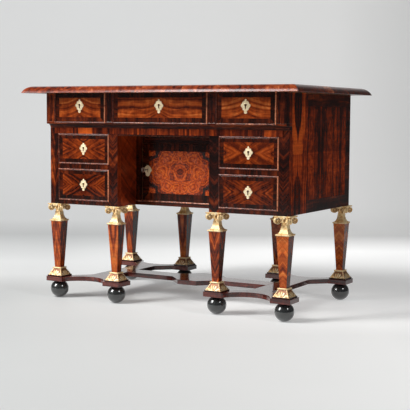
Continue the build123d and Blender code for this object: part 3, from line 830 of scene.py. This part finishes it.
def make_strip():
    """Crossbanding on the top rails, in short pieces of very different colour."""
    lo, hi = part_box("crossbanded_strip")
    leg_x = (inner + bay_in) / 2
    joint, shortest, longest = 0.001, 0.6, 1.5
    side_tones, middle_tones = (-0.14, 0.06), (-0.08, 0.12)
    bright_runs = ((-0.425, -0.382, 0.16), (-0.363, -0.309, 0.27), (0.404, 0.441, 0.20), (0.190, 0.212, 0.16))
    lengths = ((-hi.x, -leg_x - joint, 0.021), (-leg_x, leg_x, 0.0085), (leg_x + joint, hi.x, 0.019))
    made_of, pieces = [], []
    for start, end, width in lengths:
        edges = [start]
        while edges[-1] < end - width * shortest:
            edges.append(min(end, edges[-1] + width * chance.uniform(shortest, longest)))
        edges[-1] = end
        for low_x, high_x in zip(edges, edges[1:]):
            middle = (low_x + high_x) / 2
            tone = chance.uniform(*(side_tones if abs(middle) > leg_x else middle_tones))
            for run_start, run_end, run_tone in bright_runs:
                if run_start < middle < run_end:
                    tone = run_tone
            pieces.append((middle, anywhere(), tone))
        made_of.append(((start, lo.y, lo.z), (end, hi.y, hi.z), [((x, 0, 0), X) for x in edges[1:-1]]))

    def lay(centre, normal):
        _, shift, tone = min(pieces, key=lambda cut: abs(cut[0] - centre.x))
        return Lay(Z, X, shift=shift, tone=tone)

    boards("strip", "crossbanded_strip", [strip_veneer], lay, made_of, 0.0004)


def make_beads():
    """Half-round beads round the openings, mitred at the corners, and one under the cupboard door; the
    right-hand beads and the one under the door are painted lighter as highlights, the left-hand ones darker
    as shade.
    """
    half_bead, bead_height = 0.0025, 0.0024
    # Painted highlight on the right-hand beads and on the door's bead, painted shade on the left-hand beads.
    right_highlight_tone, left_shade_tone, level_tone, door_highlight_tone = 0.22, -0.14, -0.04, 0.1
    profile = arc((half_bead, 0), (half_bead, bead_height), 180, 0, 8)
    bm = bmesh.new()

    def bead(ends, face, middle, mitres, pieces, tone):
        """One bead between two (x, z) ends; its outer edge is the one away from the middle."""
        start, end = (Vector((x, face, z)) for x, z in ends)
        out = (end - start).normalized().cross(-Y)
        if out.dot(start - middle) < 0:
            out = -out
        sweep_length(bm, profile, start, end, out, -Y, mitres, pieces, lambda point: (anywhere(), tone))

    def frame_bead(x0, x1, z0, z1, face, sides):
        """Beads round an opening; with three sides they are open at the top."""
        corners = [(x1, z1), (x1, z0), (x0, z0), (x0, z1), (x1, z1)]
        middle = Vector(((x0 + x1) / 2, face, (z0 + z1) / 2))
        for i, tone in enumerate((right_highlight_tone, level_tone, left_shade_tone, level_tone)[:sides]):
            mitres = (-1, -1) if sides == 4 else ((0, -1), (-1, -1), (-1, 0))[i]
            bead(corners[i:i + 2], face, middle, mitres, 6, tone)

    for bottom, top in ((lower_low, lower_high), (upper_low, upper_high)):
        for xs in both(bay_in, bay_out):
            frame_bead(*xs, bottom, top, front, 4)
    for xs in ((-bay_out, -bay_in), (-inner, inner), (bay_in, bay_out)):
        frame_bead(*xs, frieze_floor, carcass_high, frieze_front, 3)
    door_face, door_bead_top = low("cupboard_frame").y, 0.376
    ends = [(x, door_bead_top) for x in (-inner, inner)]
    bead(ends, door_face, Vector((0, door_face, high("door_leaf").z)), (0, 0), 8, door_highlight_tone)
    piece(bm, "beads", "desk", ["opening_beads"], [bead_wood], smooth=50)


# ---- Keyhole plates, locks and drawers
LOBES_HALF = 0.74
LOBES = (  # of half a plate that is 2 tall: middle (across, up), radius, and the turn of each arc
    (0.0, 0.84, 0.16, 90, -35), (0.25, 0.50, 0.23, 105, 5), (0.50, 0.10, 0.24, 78, -62),
    (0.30, -0.36, 0.17, 25, -72), (0.0, -0.77, 0.23, 42, -90),
)
RIM = ((1.0, 0.0), (1.0, 0.7), (0.955, 1.0), (0.90, 1.0), (0.86, 0.66), (0.60, 0.84))  # outline's size, lift
HOLE = ((1.75, 0.86), (1.5, 1.1), (1.35, 0.9), (1.35, 0.0))  # keyhole's size, lift


def add_plate(bm, centre, size, thick=plate_thick):
    """A cartouche with lobes, a crown and a drop, pierced by its keyhole, with a raised rim."""
    half, tall = size[0] / 2, size[1] / 2
    outline = []
    for across, up, radius, first, last in LOBES:
        for x, z in arc((across, up), (radius, radius), first, last, 4):
            outline.append((max(0.0, x) / LOBES_HALF * half, z * tall))
    outline[0], outline[-1] = (0.0, tall), (0.0, -tall)
    outline += [(-x, z) for x, z in outline[-2:0:-1]]
    flats = [([(x * grow, z * grow) for x, z in outline], lift) for grow, lift in RIM]
    flats += [([(x, z + plate_hang) for x, z in keyhole_outline(grow)], lift) for grow, lift in HOLE]
    rings = [[bm.verts.new(centre + Vector((x, -thick * lift, z))) for x, z in flat] for flat, lift in flats]
    for one, other in zip(rings, rings[1:] + rings[:1]):
        if len(one) == len(other):
            stack_rings(bm, (one, other), closed=False)
            continue
        edges = []
        for ring in (one, other):
            for ends in zip(ring, ring[1:] + ring[:1]):
                edges.append(bm.edges.get(ends) or bm.edges.new(ends))
        bmesh.ops.triangle_fill(bm, edges=edges, use_beauty=True)
    nail_radius, nail_lift, nail_levels = 0.0011, 0.6, (0.82, -0.78)
    for up in nail_levels:
        nail = Matrix.Translation(centre + up * tall * Z - Y * thick * nail_lift)
        bmesh.ops.create_uvsphere(bm, u_segments=10, v_segments=6, radius=nail_radius, matrix=nail)


def plate_of(node):
    """The size of a drawer's plate and the middle of it, on the drawer's face."""
    lo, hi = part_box(node)
    size, lift = ((0.037, 0.050), plate_lift) if "frieze" in node else ((0.034, 0.044), 0)
    return size, Vector(((lo.x + hi.x) / 2, lo.y, (lo.z + hi.z) / 2 + lift))


def make_locks():
    gap = 0.0003
    screw_x, screw_drops, screw_radius, screw_proud = 0.021, (0.050, 0.010), 0.0004, 0.0004
    half, slot = bolt_width / 2 + gap, bolt_height + gap
    for node in sorted(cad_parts):
        if not node.endswith("_drawer_lock"):
            continue
        body = node.removesuffix("_lock")
        lo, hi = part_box(node)
        _, back, top = high(f"{body}_front")
        size, centre = plate_of(f"{body}_front")
        middle = centre.x
        bm = bmesh.new()
        add_plate(bm, centre, size)
        foot = top - lock_height
        for x0, x1 in ((lo.x, middle - half), (middle + half, hi.x)):
            add_board(bm, (x0, back, foot), (x1, hi.y, top), soft=0.0008)
        add_board(bm, (middle - half, back, foot), (middle + half, hi.y, top - slot), soft=0.0004)
        bolt = (back + hi.y - bolt_thick) / 2
        bolt_low = (middle - bolt_width / 2, bolt, top - slot)
        add_board(bm, bolt_low, (middle + bolt_width / 2, bolt + bolt_thick, top - gap))
        for across in (-screw_x, screw_x):
            for drop in screw_drops:
                screw = Matrix.Translation((middle + across, hi.y - screw_proud, top - drop))
                bmesh.ops.create_uvsphere(bm, u_segments=12, v_segments=6, radius=screw_radius, matrix=screw)
        piece(bm, f"{body}_plate_and_lock", body, [node], [brass], smooth=28)


def make_drawers():
    """Veneered drawer fronts: the frieze's in halves that sweep down, the others quartered."""
    show_tails = 0.0001
    frieze_border, border, slant = 0.016, 0.0135, 0.5
    for node in sorted(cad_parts):
        if not node.endswith("_drawer_front"):
            continue
        body = node.removesuffix("_front")
        lo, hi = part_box(node)
        _, plate = plate_of(node)
        place = (Vector((plate.x, lo.y, (lo.z + hi.z) / 2)), X, Z, (hi.x - lo.x) / 2, (hi.z - lo.z) / 2)
        figure = field_veneer
        if "frieze" in body:
            figure = frieze_veneer
            panel = Panel(*place, frieze_border, "halves", tones=(0.02, -0.10, 0.05, -0.04))
        else:
            # Painted shade: the lower drawers' fronts are darker than the upper ones.
            tone = -0.15 if "lower" in body else -0.04
            panel = Panel(*place, border, "quarters", slant, (-0.04, -0.04, -0.07, 0.0), tone)
        bm = bmesh.new()
        add_board(bm, lo + X * show_tails, hi - X * show_tails, panel.cuts())
        bm = pierced(bm, plate + Z * plate_hang, hi.y - lo.y)
        lay = faced(-Y, panel.lay, solid_wood(X, 2))
        piece(bm, f"{body}_veneered_front", body, [node], [banding, figure, oak], lay)


# ---- Cupboard
def make_cupboard():
    lo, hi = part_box("cupboard_frame")
    leaf_lo, leaf_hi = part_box("door_leaf")
    gap = 0.0012
    door_x, door_low, door_high = leaf_hi.x + gap, leaf_lo.z - gap, leaf_hi.z + gap
    made_of = [((x0, lo.y, door_low), (x1, hi.y, hi.z)) for x0, x1 in both(door_x, hi.x)]
    made_of += [((-door_x, lo.y, door_high), (door_x, hi.y, hi.z)), (lo, (hi.x, hi.y, door_low))]
    shift = anywhere()

    def frame_lay(point):
        beside = door_low < point.z < door_high or abs(point.x) > door_x and point.z > door_low
        return Lay(Z, X, shift=shift) if beside else Lay(X, Z, shift=shift)

    lay = faced(-Y, frame_lay, solid_wood(Z, 1))
    boards("cupboard_surround", "cupboard_frame", [banding, oak], lay, made_of, 0.0002)
    centre = Vector((0, leaf_lo.y, (leaf_lo.z + leaf_hi.z) / 2))
    stile, key_setback, key_lift = 0.0268, 0.022, 0.008
    half_z = leaf_hi.z - centre.z
    panel = Panel(centre, X, Z, leaf_hi.x, half_z, stile, "halves", tones=(-0.06, -0.06, -0.04, -0.04))
    keyhole = Vector((leaf_lo.x + key_setback, leaf_lo.y, centre.z + key_lift))
    bm = bmesh.new()
    add_board(bm, leaf_lo, leaf_hi, panel.cuts(), soft=0.0003)
    bm = pierced(bm, keyhole, leaf_hi.y - leaf_lo.y)
    lay = faced(-Y, panel.lay, solid_wood(Z, 2))
    door = piece(bm, "door", "cupboard_door", ["door_leaf"], [banding, burr_veneer, oak], lay)
    bm = bmesh.new()
    cover = 0.0003
    add_plate(bm, keyhole - Z * plate_hang, (0.034 + cover, 0.041 + cover), plate_thick + cover)
    piece(bm, "door_keyhole_plate", "cupboard_door", [], [brass], smooth=28)


# ---- Legs
def carve(bm, rows):
    """Skins rows of points, each with how deep it lies in the carving, 0 to 1, and closes the ends."""
    depth = bm.verts.layers.float.get("depth") or bm.verts.layers.float.new("depth")
    rings = []
    for row in rows:
        rings.append([bm.verts.new(point) for point, _ in row])
        for vert, (_, cut) in zip(rings[-1], row):
            vert[depth] = cut
    stack_rings(bm, rings)


def square_loft(bm, sections, steps, relief=None, tall=0.0):
    """A four-sided body through (half width, height) sections; the relief, 0 to 1, stands so tall at most."""
    rows = []
    for k, (half, level) in enumerate(sections):
        row = []
        for side in range(4):
            turn = Matrix.Rotation(math.radians(90 * side), 3, "Z")
            for i in range(steps):
                s = -1 + 2 * i / steps
                rise = relief(s, k / (len(sections) - 1)) if relief else 1.0
                outward = Vector((math.copysign(abs(s) ** 6, s), -1, 0))
                row.append((turn @ (Vector((s * half, -half, level)) + outward * (rise * tall)), 1 - rise))
        rows.append(row)
    carve(bm, rows)


def make_shafts():
    """Tapered square shafts, each side in two leaves that meet at its middle."""
    figures = {  # the slant of the grain and the tone of a leg's front
        "right_outer": (-0.7, 0.09), "right_inner": (0.35, -0.05),
        "left_inner": (0.16, 0.03), "left_outer": (-0.2, -0.05),
    }
    foot, levels, side_tone, soft = 0.01275, 8, -0.15, 0.0007
    for node in LEGS:
        lo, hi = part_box(node)
        centre = (lo + hi) / 2
        head = (hi.x - lo.x) / 2
        sections = []
        for k in range(levels + 1):
            share = k / levels
            sections.append((foot + (head - foot) * share, lo.z + (hi.z - lo.z) * share))
        bm = bmesh.new()
        square_loft(bm, sections, 2)
        bmesh.ops.translate(bm, verts=bm.verts, vec=(centre.x, centre.y, 0))
        arrises = []
        for edge in bm.edges:
            upright = abs(edge.verts[0].co.z - edge.verts[1].co.z) > 0.01
            if upright and edge.calc_face_angle(0) > 1.0:
                arrises.append(edge)
        bmesh.ops.bevel(bm, geom=arrises, offset=soft, segments=2, profile=0.5, affect="EDGES")
        shift = anywhere()
        turn, tone = figures[node.split("_", 2)[2]]

        def lay(point, normal):
            if abs(normal.z) > 0.9:
                return Lay(X, Y, shift=shift)
            side = X if abs(normal.y) > abs(normal.x) else Y
            way = math.copysign(1, (point - centre).dot(side))
            along = way * math.sin(turn) * side + math.cos(turn) * Z
            across = way * math.cos(turn) * side - math.sin(turn) * Z
            # Painted shade: the faces that look to the sides take the darker side_tone.
            return Lay(along, across, centre, 0, shift, side_tone if side is Y else tone)

        piece(bm, f"{node}_shaft", "desk", [node], [leg_veneer], lay)


LEGS = [node for node in sorted(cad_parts) if node.startswith(("leg_front", "leg_back"))]


def eight(name, build, node, materials, smooth):
    """The same work on each of the eight legs, as one piece each."""
    bm = bmesh.new()
    build(bm)
    first = piece(bm, f"{name}_0", "desk", [node], materials, smooth=smooth)
    for number, leg in enumerate(LEGS):
        made = first
        if number:
            made = link(f"{name}_{number}", first.data)
        lo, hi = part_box(leg)
        made.parent = None
        made.location = ((lo.x + hi.x) / 2, (lo.y + hi.y) / 2, 0)
        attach(made, "desk")


def palmette(s, t):
    """Ribs that fan out from the foot of a side, between two leaves that climb its corners."""
    root, shell_reach, ribs, ground, ends = 0.15, 0.98, 12, 0.08, 0.06
    leaf_at, leaf_wide, leaf_ribs = 0.90, 0.11, 24
    reach, fan = math.hypot(s, t + root), math.atan2(s, t + root)
    shell = max(0.0, 1 - (reach / shell_reach) ** 8) * (0.62 + 0.38 * math.cos(fan * ribs))
    leaf = math.exp(-(((abs(s) - leaf_at) / leaf_wide) ** 2)) * (0.75 + 0.25 * math.cos(t * leaf_ribs))
    fade = min(1.0, t / ends, (1 - t) / ends)
    return 1 - fade + fade * min(1.0, max(shell, leaf, ground))


def base_block(bm):
    """A base: a dark plinth, a carved slope, and a fillet on top."""
    lo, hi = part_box("leg_bases")
    wide, narrow, ledge, soft = 0.0325, 0.019, 0.0015, 0.0006
    foot, top = lo.z + 0.005, hi.z
    square_loft(bm, [(wide - soft, lo.z), (wide, lo.z + soft), (wide, foot - soft), (wide - soft, foot)], 4)
    for face in bm.faces:
        face.material_index = 1
    tall, steps, cap = 0.0018, 22, 0.005
    slope = []
    for k in range(steps + 1):
        t = k / steps
        half = wide - soft - tall + (narrow - ledge - wide + soft) * t
        slope.append((half, foot - soft + (top - cap - foot + 2 * soft) * t))
    square_loft(bm, slope, 36, palmette, tall)
    fillet = [(narrow - ledge, top - cap), (narrow - soft, top - cap + soft), (narrow, top - cap / 2)]
    square_loft(bm, fillet + [(narrow - soft, top - soft), (narrow - ledge, top)], 4)


def lathe(bm, rings, wave=0, deep=0.0, count=48):
    """A turned body through (radius, height) rings, with upright lobes where the wave is given."""
    rows = []
    for k, (radius, level) in enumerate(rings):
        row = []
        share = math.sin(math.pi * k / (len(rings) - 1)) if wave else 0.0
        for i in range(count):
            turn = math.tau * i / count
            cut = share * (0.5 - 0.5 * math.cos(turn * wave))
            across = radius - deep * cut
            row.append(((math.cos(turn) * across, math.sin(turn) * across, level), cut))
        rows.append(row)
    carve(bm, rows)


LIP = ((0.0240, 0.0), (0.0252, 0.0008), (0.0255, 0.0022), (0.0255, 0.0040), (0.0249, 0.0052), (0.0235, 0.006))
COLLAR = ((0.0115, 0.035), (0.0138, 0.0372), (0.0142, 0.0386), (0.0128, 0.0406), (0.0114, 0.0422))
ABACUS = (  # half width, and depth under the top
    (0.028, 0.005), (0.0298, 0.004), (0.03, 0.003), (0.031, 0.002), (0.031, 0.0004), (0.0306, 0.0),
)


def capital_block(bm):
    """A capital: a square lip, a sweep up to the neck, a lobed bell, volutes and a hollow-sided abacus."""
    lo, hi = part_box("leg_capitals")
    square_loft(bm, [(half, lo.z + rise) for half, rise in LIP], 4)
    flare_foot, flare_in, flare_low, flare_high = 0.0235, 0.0125, 0.0056, 0.030
    middle = (flare_foot, lo.z + flare_low + flare_high)
    square_loft(bm, arc(middle, (flare_in, flare_high), -90, -180, 16), 6)
    lathe(bm, [(radius, lo.z + rise) for radius, rise in COLLAR])
    bell_foot, bell_swell, bell_low, bell_high, steps = 0.0120, 0.0105, 0.0415, 0.0205, 14
    bell = []
    for k in range(steps + 1):
        t = k / steps
        radius = bell_foot + bell_swell * math.sin(t * math.pi / 2) ** 0.8
        bell.append((radius, lo.z + bell_low + bell_high * t))
    lathe(bm, bell, wave=8, deep=0.0030)
    hollow = 0.004
    first = len(bm.verts)
    square_loft(bm, [(half, hi.z - fall) for half, fall in ABACUS], 12)
    bm.verts.ensure_lookup_table()
    for vert in bm.verts[first:]:
        x, y = vert.co.x, vert.co.y
        widest = max(abs(x), abs(y))
        inward = hollow * (1 - (min(abs(x), abs(y)) / widest) ** 2)
        if abs(x) > abs(y):
            vert.co.x -= math.copysign(inward, x)
        else:
            vert.co.y -= math.copysign(inward, y)
    for side in range(4):
        add_volute(bm, math.radians(45 + 90 * side), hi.z - ABACUS[0][1])
        add_fleuron(bm, math.radians(90 * side), hi.z - ABACUS[0][1])


def add_egg(bm, place, direction, size, tilt=0.0, segments=12):
    """An egg shape of three half sizes, turned to a direction and tilted."""
    turn = Matrix.Rotation(direction, 4, "Z") @ Matrix.Rotation(tilt, 4, "X")
    where = Matrix.Translation(place) @ turn @ Matrix.Diagonal((*size, 1))
    bmesh.ops.create_uvsphere(bm, u_segments=segments, v_segments=8, radius=1, matrix=where)


CUSHION = (  # across a volute's rim from cheek to cheek: share of its half thickness and of its radius
    (-0.80, 0.80), (-0.98, 0.84), (-1.0, 0.95), (-0.9, 1.0), (-0.55, 0.97), (-0.4, 0.86), (-0.2, 0.9),
    (0.0, 0.98),
    (0.2, 0.9), (0.4, 0.86), (0.55, 0.97), (0.9, 1.0), (1.0, 0.95), (0.98, 0.84), (0.80, 0.80),
)


def add_volute(bm, direction, level):
    """A filled scroll at a corner: a cushion-shaped rim, and a raised spiral and an eye on each cheek."""
    out_by, hang, radius, half, around, cheek_share = 0.0300, 0.0110, 0.0112, 0.0085, 32, 0.80
    eye_size, eye_share = (0.0030, 0.0024, 0.0030), 0.82
    out = Vector((math.cos(direction), math.sin(direction), 0))
    side = Z.cross(out)
    centre = out * out_by + Z * (level - hang)
    turns = [math.tau * i / around for i in range(around)]
    spokes = [out * math.cos(turn) + Z * math.sin(turn) for turn in turns]
    rows = []
    for along, across in CUSHION:
        # The cheeks are marked deep, so that the gilding paints them darker as shade, with bole and patina.
        cut = 0.8 if across < 0.88 and abs(along) < 0.95 else 0.0
        rows.append([(centre + side * along * half + spoke * across * radius, cut) for spoke in spokes])
    carve(bm, rows)
    for cheek in (-side, side):
        add_spiral(bm, centre + cheek * half * cheek_share, out, cheek, radius * cheek_share)
        add_egg(bm, centre + cheek * half * eye_share, direction, eye_size)


def add_spiral(bm, middle, out, side, radius):
    """A ridge that winds one and a half turns from the rim of a scroll's cheek to its eye."""
    steps, turns, width, tall = 36, 1.5, 0.0012, 0.0016
    section = ((-1, -0.2), (-0.7, 0.7), (0, 1), (0.7, 0.7), (1, -0.2))
    rings = []
    for i in range(steps + 1):
        t = i / steps
        turn = math.radians(90) - t * turns * math.tau
        spoke = out * math.cos(turn) + Z * math.sin(turn)
        far, wide = radius * (0.92 - 0.62 * t), width * (1 - 0.4 * t)
        rings.append([bm.verts.new(middle + spoke * (far + a * wide) + side * b * tall) for a, b in section])
    stack_rings(bm, rings)


def add_fleuron(bm, direction, level):
    """A ribbed shell under the middle of each side of the abacus, with a drop."""
    shell_out, shell_hang, fan, half_width, half_height = 0.0235, 0.0045, 28, 0.0075, 0.0040
    petal, drop, drop_out, drop_hang = (0.0036, 0.0022, 0.0062), (0.0032, 0.0032, 0.0048), 0.0225, 0.0125
    out = Vector((math.cos(direction), math.sin(direction), 0))
    side = Z.cross(out)
    for k in range(-2, 3):
        tilt = math.radians(fan * k)
        place = out * shell_out + side * math.sin(tilt) * half_width
        place += Z * (level - shell_hang + math.cos(tilt) * half_height)
        add_egg(bm, place, direction, petal, -tilt, 10)
    add_egg(bm, out * drop_out + Z * (level - drop_hang), 0.0, drop)


def ball_foot(bm):
    """A turned ball, a little flat from pole to pole and where it stands, cut off under the stretcher."""
    height = high("ball_feet").z
    radius, rise, flat = 0.034, 0.0333, 0.0045
    middle = rise * math.sqrt(1 - (flat / radius) ** 2)
    start, end = (math.degrees(math.asin((level - middle) / rise)) for level in (0, height))
    lathe(bm, arc((0, middle), (radius, rise), start, end, 40), count=72)


# ---- Stretchers
pad, pad_chamfer, spine = 0.074, 0.003, 0.080
flare_run, flare_round, stretcher_bay = 0.050, 0.014, 0.068


def rounded_knee(knee, before, after, radius):
    """The points of an arc that rounds the corner at the knee, from the side of before to that of after."""
    one, other = (before - knee).normalized(), (after - knee).normalized()
    half_angle = one.angle(other) / 2
    middle = knee + (one + other).normalized() * radius / math.sin(half_angle)
    trim = radius / math.tan(half_angle)
    first, last = knee + one * trim - middle, knee + other * trim - middle
    steps = 6
    return [tuple(middle + first.lerp(last, i / steps).normalized() * radius) for i in range(steps + 1)]


def stretcher_outline(reach_x, reach_y):
    """A shaped board about its middle: a pad under each leg, deep hollow ends and a straight spine."""
    pad_in, pad_out = reach_x - pad / 2, reach_x + pad / 2
    pad_back, pad_front = reach_y - pad / 2, reach_y + pad / 2
    radius = (pad_in**2 + stretcher_bay**2) / (2 * stretcher_bay)
    sweep = math.degrees(math.asin(pad_in / radius))
    quarter = arc((0, pad_front - stretcher_bay + radius), (radius, radius), -90, sweep - 90, 16)
    quarter += [(pad_out - pad_chamfer, pad_front), (pad_out, pad_front - pad_chamfer), (pad_out, pad_back)]
    quarter.append((pad_in, pad_back))
    knee = Vector((spine / 2, pad_back - flare_run))
    quarter += rounded_knee(knee, Vector((pad_in, pad_back)), Vector((spine / 2, 0)), flare_round)
    right = quarter[1:] + [(x, -y) for x, y in quarter[:0:-1]]
    return [quarter[0], *right, (0, -quarter[0][1]), *[(-x, y) for x, y in right[::-1]]]


def add_slab(bm, outline, bottom, top):
    """A flat board of any outline, with eased edges."""
    lower = bm.faces.new([bm.verts.new((x, y, bottom)) for x, y in outline])
    upper = bmesh.ops.extrude_face_region(bm, geom=[lower])
    for item in upper["geom"]:
        if isinstance(item, bmesh.types.BMVert):
            item.co.z = top
    bmesh.ops.recalc_face_normals(bm, faces=bm.faces)
    rims = [edge for edge in bm.edges if abs(edge.verts[0].co.z - edge.verts[1].co.z) < 1e-6]
    soft = 0.0012
    bmesh.ops.bevel(bm, geom=rims, offset=soft, segments=3, profile=0.5, affect="EDGES")


def slab_piece(name, node, outline, way_at):
    """A slab in stretcher veneer: the grain runs along each edge, and on top the way that it goes there."""
    lo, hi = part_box(node)
    centre = (lo + hi) / 2
    shift = anywhere()

    def lay(point, normal):
        if abs(normal.z) < 0.5:
            return Lay(Vector((-normal.y, normal.x, 0)), Z, shift=shift)
        way = way_at(point - centre)
        return Lay(way, Z.cross(way), centre, 0, shift)

    bm = bmesh.new()
    add_slab(bm, [(centre.x + x, centre.y + y) for x, y in outline], lo.z, hi.z)
    piece(bm, name, "desk", [node], [stretcher_veneer], lay)


def make_stretchers():
    for label in ("left", "right"):
        lo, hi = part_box(f"stretcher_{label}")
        reach_x, reach_y = (hi.x - lo.x - pad) / 2, (hi.y - lo.y - pad) / 2
        outline = stretcher_outline(reach_x, reach_y)
        pad_end = reach_y - pad / 2 - flare_run
        slab_piece(
            f"shaped_stretcher_{label}", f"stretcher_{label}", outline,
            lambda offset: Y if abs(offset.y) < pad_end else X,
        )
    lo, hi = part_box("stretcher_link")
    end, across, half_spine = (hi.x - lo.x) / 2, (hi.y - lo.y) / 2, spine / 2
    corner = across * math.tan(math.radians(22.5))
    neck = across - (half_spine - corner)
    upper = [(end, half_spine), (neck, half_spine), (corner, across)]
    upper += [(-x, y) for x, y in upper[::-1]]
    outline = [(end, -half_spine), *upper, *[(x, -y) for x, y in upper[:0:-1]]]
    slab_piece("shaped_link", "stretcher_link", outline, lambda offset: X)


def make_cad_finishes():
    """The carried-over construction: oak inside, brass hinges and lock, iron key and bolt."""
    finishes = {
        "frieze_dust_board": cad_oak, "frieze_partitions": cad_oak, "bottom_boards": cad_oak,
        "knee_hole_ceiling": cad_oak, "drawer_runners": cad_oak, "hinge_frame_leaves": brass,
        "hinge_door_leaves": brass, "door_lock": brass, "door_key": iron, "door_bolt": iron,
        **{node: cad_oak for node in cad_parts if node.endswith("_drawer_box")},
    }
    for node, material in finishes.items():
        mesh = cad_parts[node].data
        mesh.materials.clear()
        mesh.materials.append(material)


# ---- Camera, floor and light
# The camera that was fitted to the photo's straight edges: its place, its angles, and two lengths in pixels
eye = (1.957, -3.405, 0.688)
yaw, pitch, roll = math.radians(-29.413), math.radians(-4.821), math.radians(0.383)
photo_width, focal_length = 410, 1051.93
sensor = 36


def make_camera():
    camera = link("camera", bpy.data.cameras.new("camera"))
    forward = Vector((math.sin(yaw), math.cos(yaw), 0)) * math.cos(pitch) + Z * math.sin(pitch)
    right = forward.cross(Z).normalized()
    tilted = right * math.cos(roll) + right.cross(forward) * math.sin(roll)
    turned = Matrix((tilted, tilted.cross(forward), -forward)).transposed().to_4x4()
    camera.matrix_world = Matrix.Translation(eye) @ turned
    camera.data.sensor_width = sensor
    camera.data.lens = sensor * focal_length / photo_width
    camera.data.clip_end = 60
    bpy.context.scene.camera = camera


def make_sweep():
    """A wide sweep of pale paper: a floor that curves up into a backdrop behind the desk."""
    width, near, far, curve, tall, steps = 9.0, 9.0, 3.2, 1.6, 5.0, 16
    rows = [(-near, 0.0, -near), (0.0, 0.0, 0.0), (far, 0.0, far)]
    for i in range(1, steps + 1):
        turn = math.radians(90 * i / steps)
        rows.append((far + math.sin(turn) * curve, curve * (1 - math.cos(turn)), far + curve * turn))
    rows.append((far + curve, tall, far + curve * math.radians(90) + tall - curve))
    turned = Matrix.Rotation(-yaw, 3, "Z")
    bm = bmesh.new()
    spots = {}
    lines = []
    for y, z, run in rows:
        line = [bm.verts.new(turned @ Vector((x, y, z))) for x in (-width, 0, width)]
        spots.update(zip(line, ((-width, run), (0, run), (width, run))))
        lines.append(line)
    for one, other in zip(lines, lines[1:]):
        for i in range(2):
            bm.faces.new((one[i], one[i + 1], other[i + 1], other[i]))
    corners_of(bm, "paper", lambda loop: spots[loop.vert])
    mesh = bpy.data.meshes.new("paper_sweep")
    bm.to_mesh(mesh)
    bm.free()
    mesh.shade_smooth()
    mesh.materials.append(paper())
    link("paper_sweep", mesh)


# Painted light on the paper: a glow by the distance behind the desk, on the left and on the right of the
# picture
LEFT_PAINTED_GLOW = (
    (-0.42, 0.0), (0.2, 0.05), (0.6, 0.28), (1.0, 0.36), (1.45, 0.29), (2.15, 0.18), (3.0, 0.36), (4.5, 0.43),
)
RIGHT_PAINTED_GLOW = (
    (-0.65, 0.23), (-0.12, 0.46), (0.2, 0.33), (0.6, 0.33), (1.0, 0.53), (1.45, 0.60), (2.15, 0.21),
    (3.6, 0.34),
)


def paper():
    """Pale paper that the lamps light, painted paler on the right and greyer far out to the sides, with a
    painted glow for what sees it directly.
    """
    s = Shader("paper")
    across, run = s.laid("paper").split()
    beside = across.math("ABSOLUTE")
    right = across.span(-0.75, 0.6)
    # Painted light and shade: the paper is paler towards the right, and greyer far out to the sides.
    pale = s.mix(right, linear(196, 198, 197), linear(226, 226, 224))
    pale = s.stain(pale, beside.span(2.4, 4.4) * 0.8, 110, 111, 111)
    pale = s.lit(pale, s.place().noise((1.2, 1.2, 1.2), 2).span(0.3, 0.7, 0.97, 1.0))
    s.finish(pale, 0.6, Specular_IOR_Level=0.3)
    # A painted glow, seen only by camera, glossy and transmission rays: brighter behind the desk and on the
    # right.
    painted_glow = s.mix(right, s.levels(run, LEFT_PAINTED_GLOW), s.levels(run, RIGHT_PAINTED_GLOW))
    camera_ray, glossy_ray, through_ray = (
        s.node("ShaderNodeLightPath", out=f"Is {kind} Ray") for kind in ("Camera", "Glossy", "Transmission")
    )
    seen = camera_ray.math("MAXIMUM", glossy_ray).math("MAXIMUM", through_ray)
    fade = beside.span(1.9, 3.2, 1.0, 0.0) * across.span(1.1, 1.7, 1.0, 0.75)
    emit = s.node("ShaderNodeEmission", {"Color": painted_glow, "Strength": seen * fade})
    both_lights = s.node("ShaderNodeAddShader", (Signal(s, s.surface.outputs[0]), emit))
    s.plug(both_lights, s.tree.nodes["Material Output"].inputs["Surface"])
    return s.material


def lamp(name, towards, distance, size, power):
    """A soft box in a direction from the middle of the desk, facing it."""
    desk_middle = 0.45
    light = bpy.data.lights.new(name, "AREA")
    light.shape = "RECTANGLE"
    light.size, light.size_y = size
    light.energy = power
    made = link(name, light)
    way = Vector(towards).normalized()
    made.location = way * distance + Z * desk_middle
    made.rotation_mode = "QUATERNION"
    made.rotation_quaternion = (-way).to_track_quat("-Z", "Y")


def make_light():
    lamp("key", (-0.46, -0.643, 0.612), 3.6, (0.95, 2.7), 148)
    lamp("glint", (-0.60, -0.54, 0.59), 3.95, (1.1, 0.4), 24)
    lamp("fill", (0.79, -0.23, 0.57), 6.1, (1.0, 1.0), 64)
    scene = bpy.context.scene
    scene.world = bpy.data.worlds.new("studio")
    scene.world.use_nodes = True
    background = scene.world.node_tree.nodes["Background"]
    background.inputs["Color"].default_value = (0.92, 0.95, 1.0, 1)
    background.inputs["Strength"].default_value = 0.1
    scene.view_settings.view_transform = "Standard"


make_camera()
make_sweep()
make_light()
make_top()
make_top_edge()
make_sides()
make_inner_sides()
make_back()
make_front_frames()
make_cove()
make_strip()
make_beads()
make_drawers()
make_locks()
make_cupboard()
make_shafts()
eight("leg_base_carving", base_block, "leg_bases", [gilt, dark_veneer], 50)
eight("leg_capital_carving", capital_block, "leg_capitals", [gilt], 50)
eight("ball_foot_turned", ball_foot, "ball_feet", [black], 60)
make_stretchers()
make_cad_finishes()
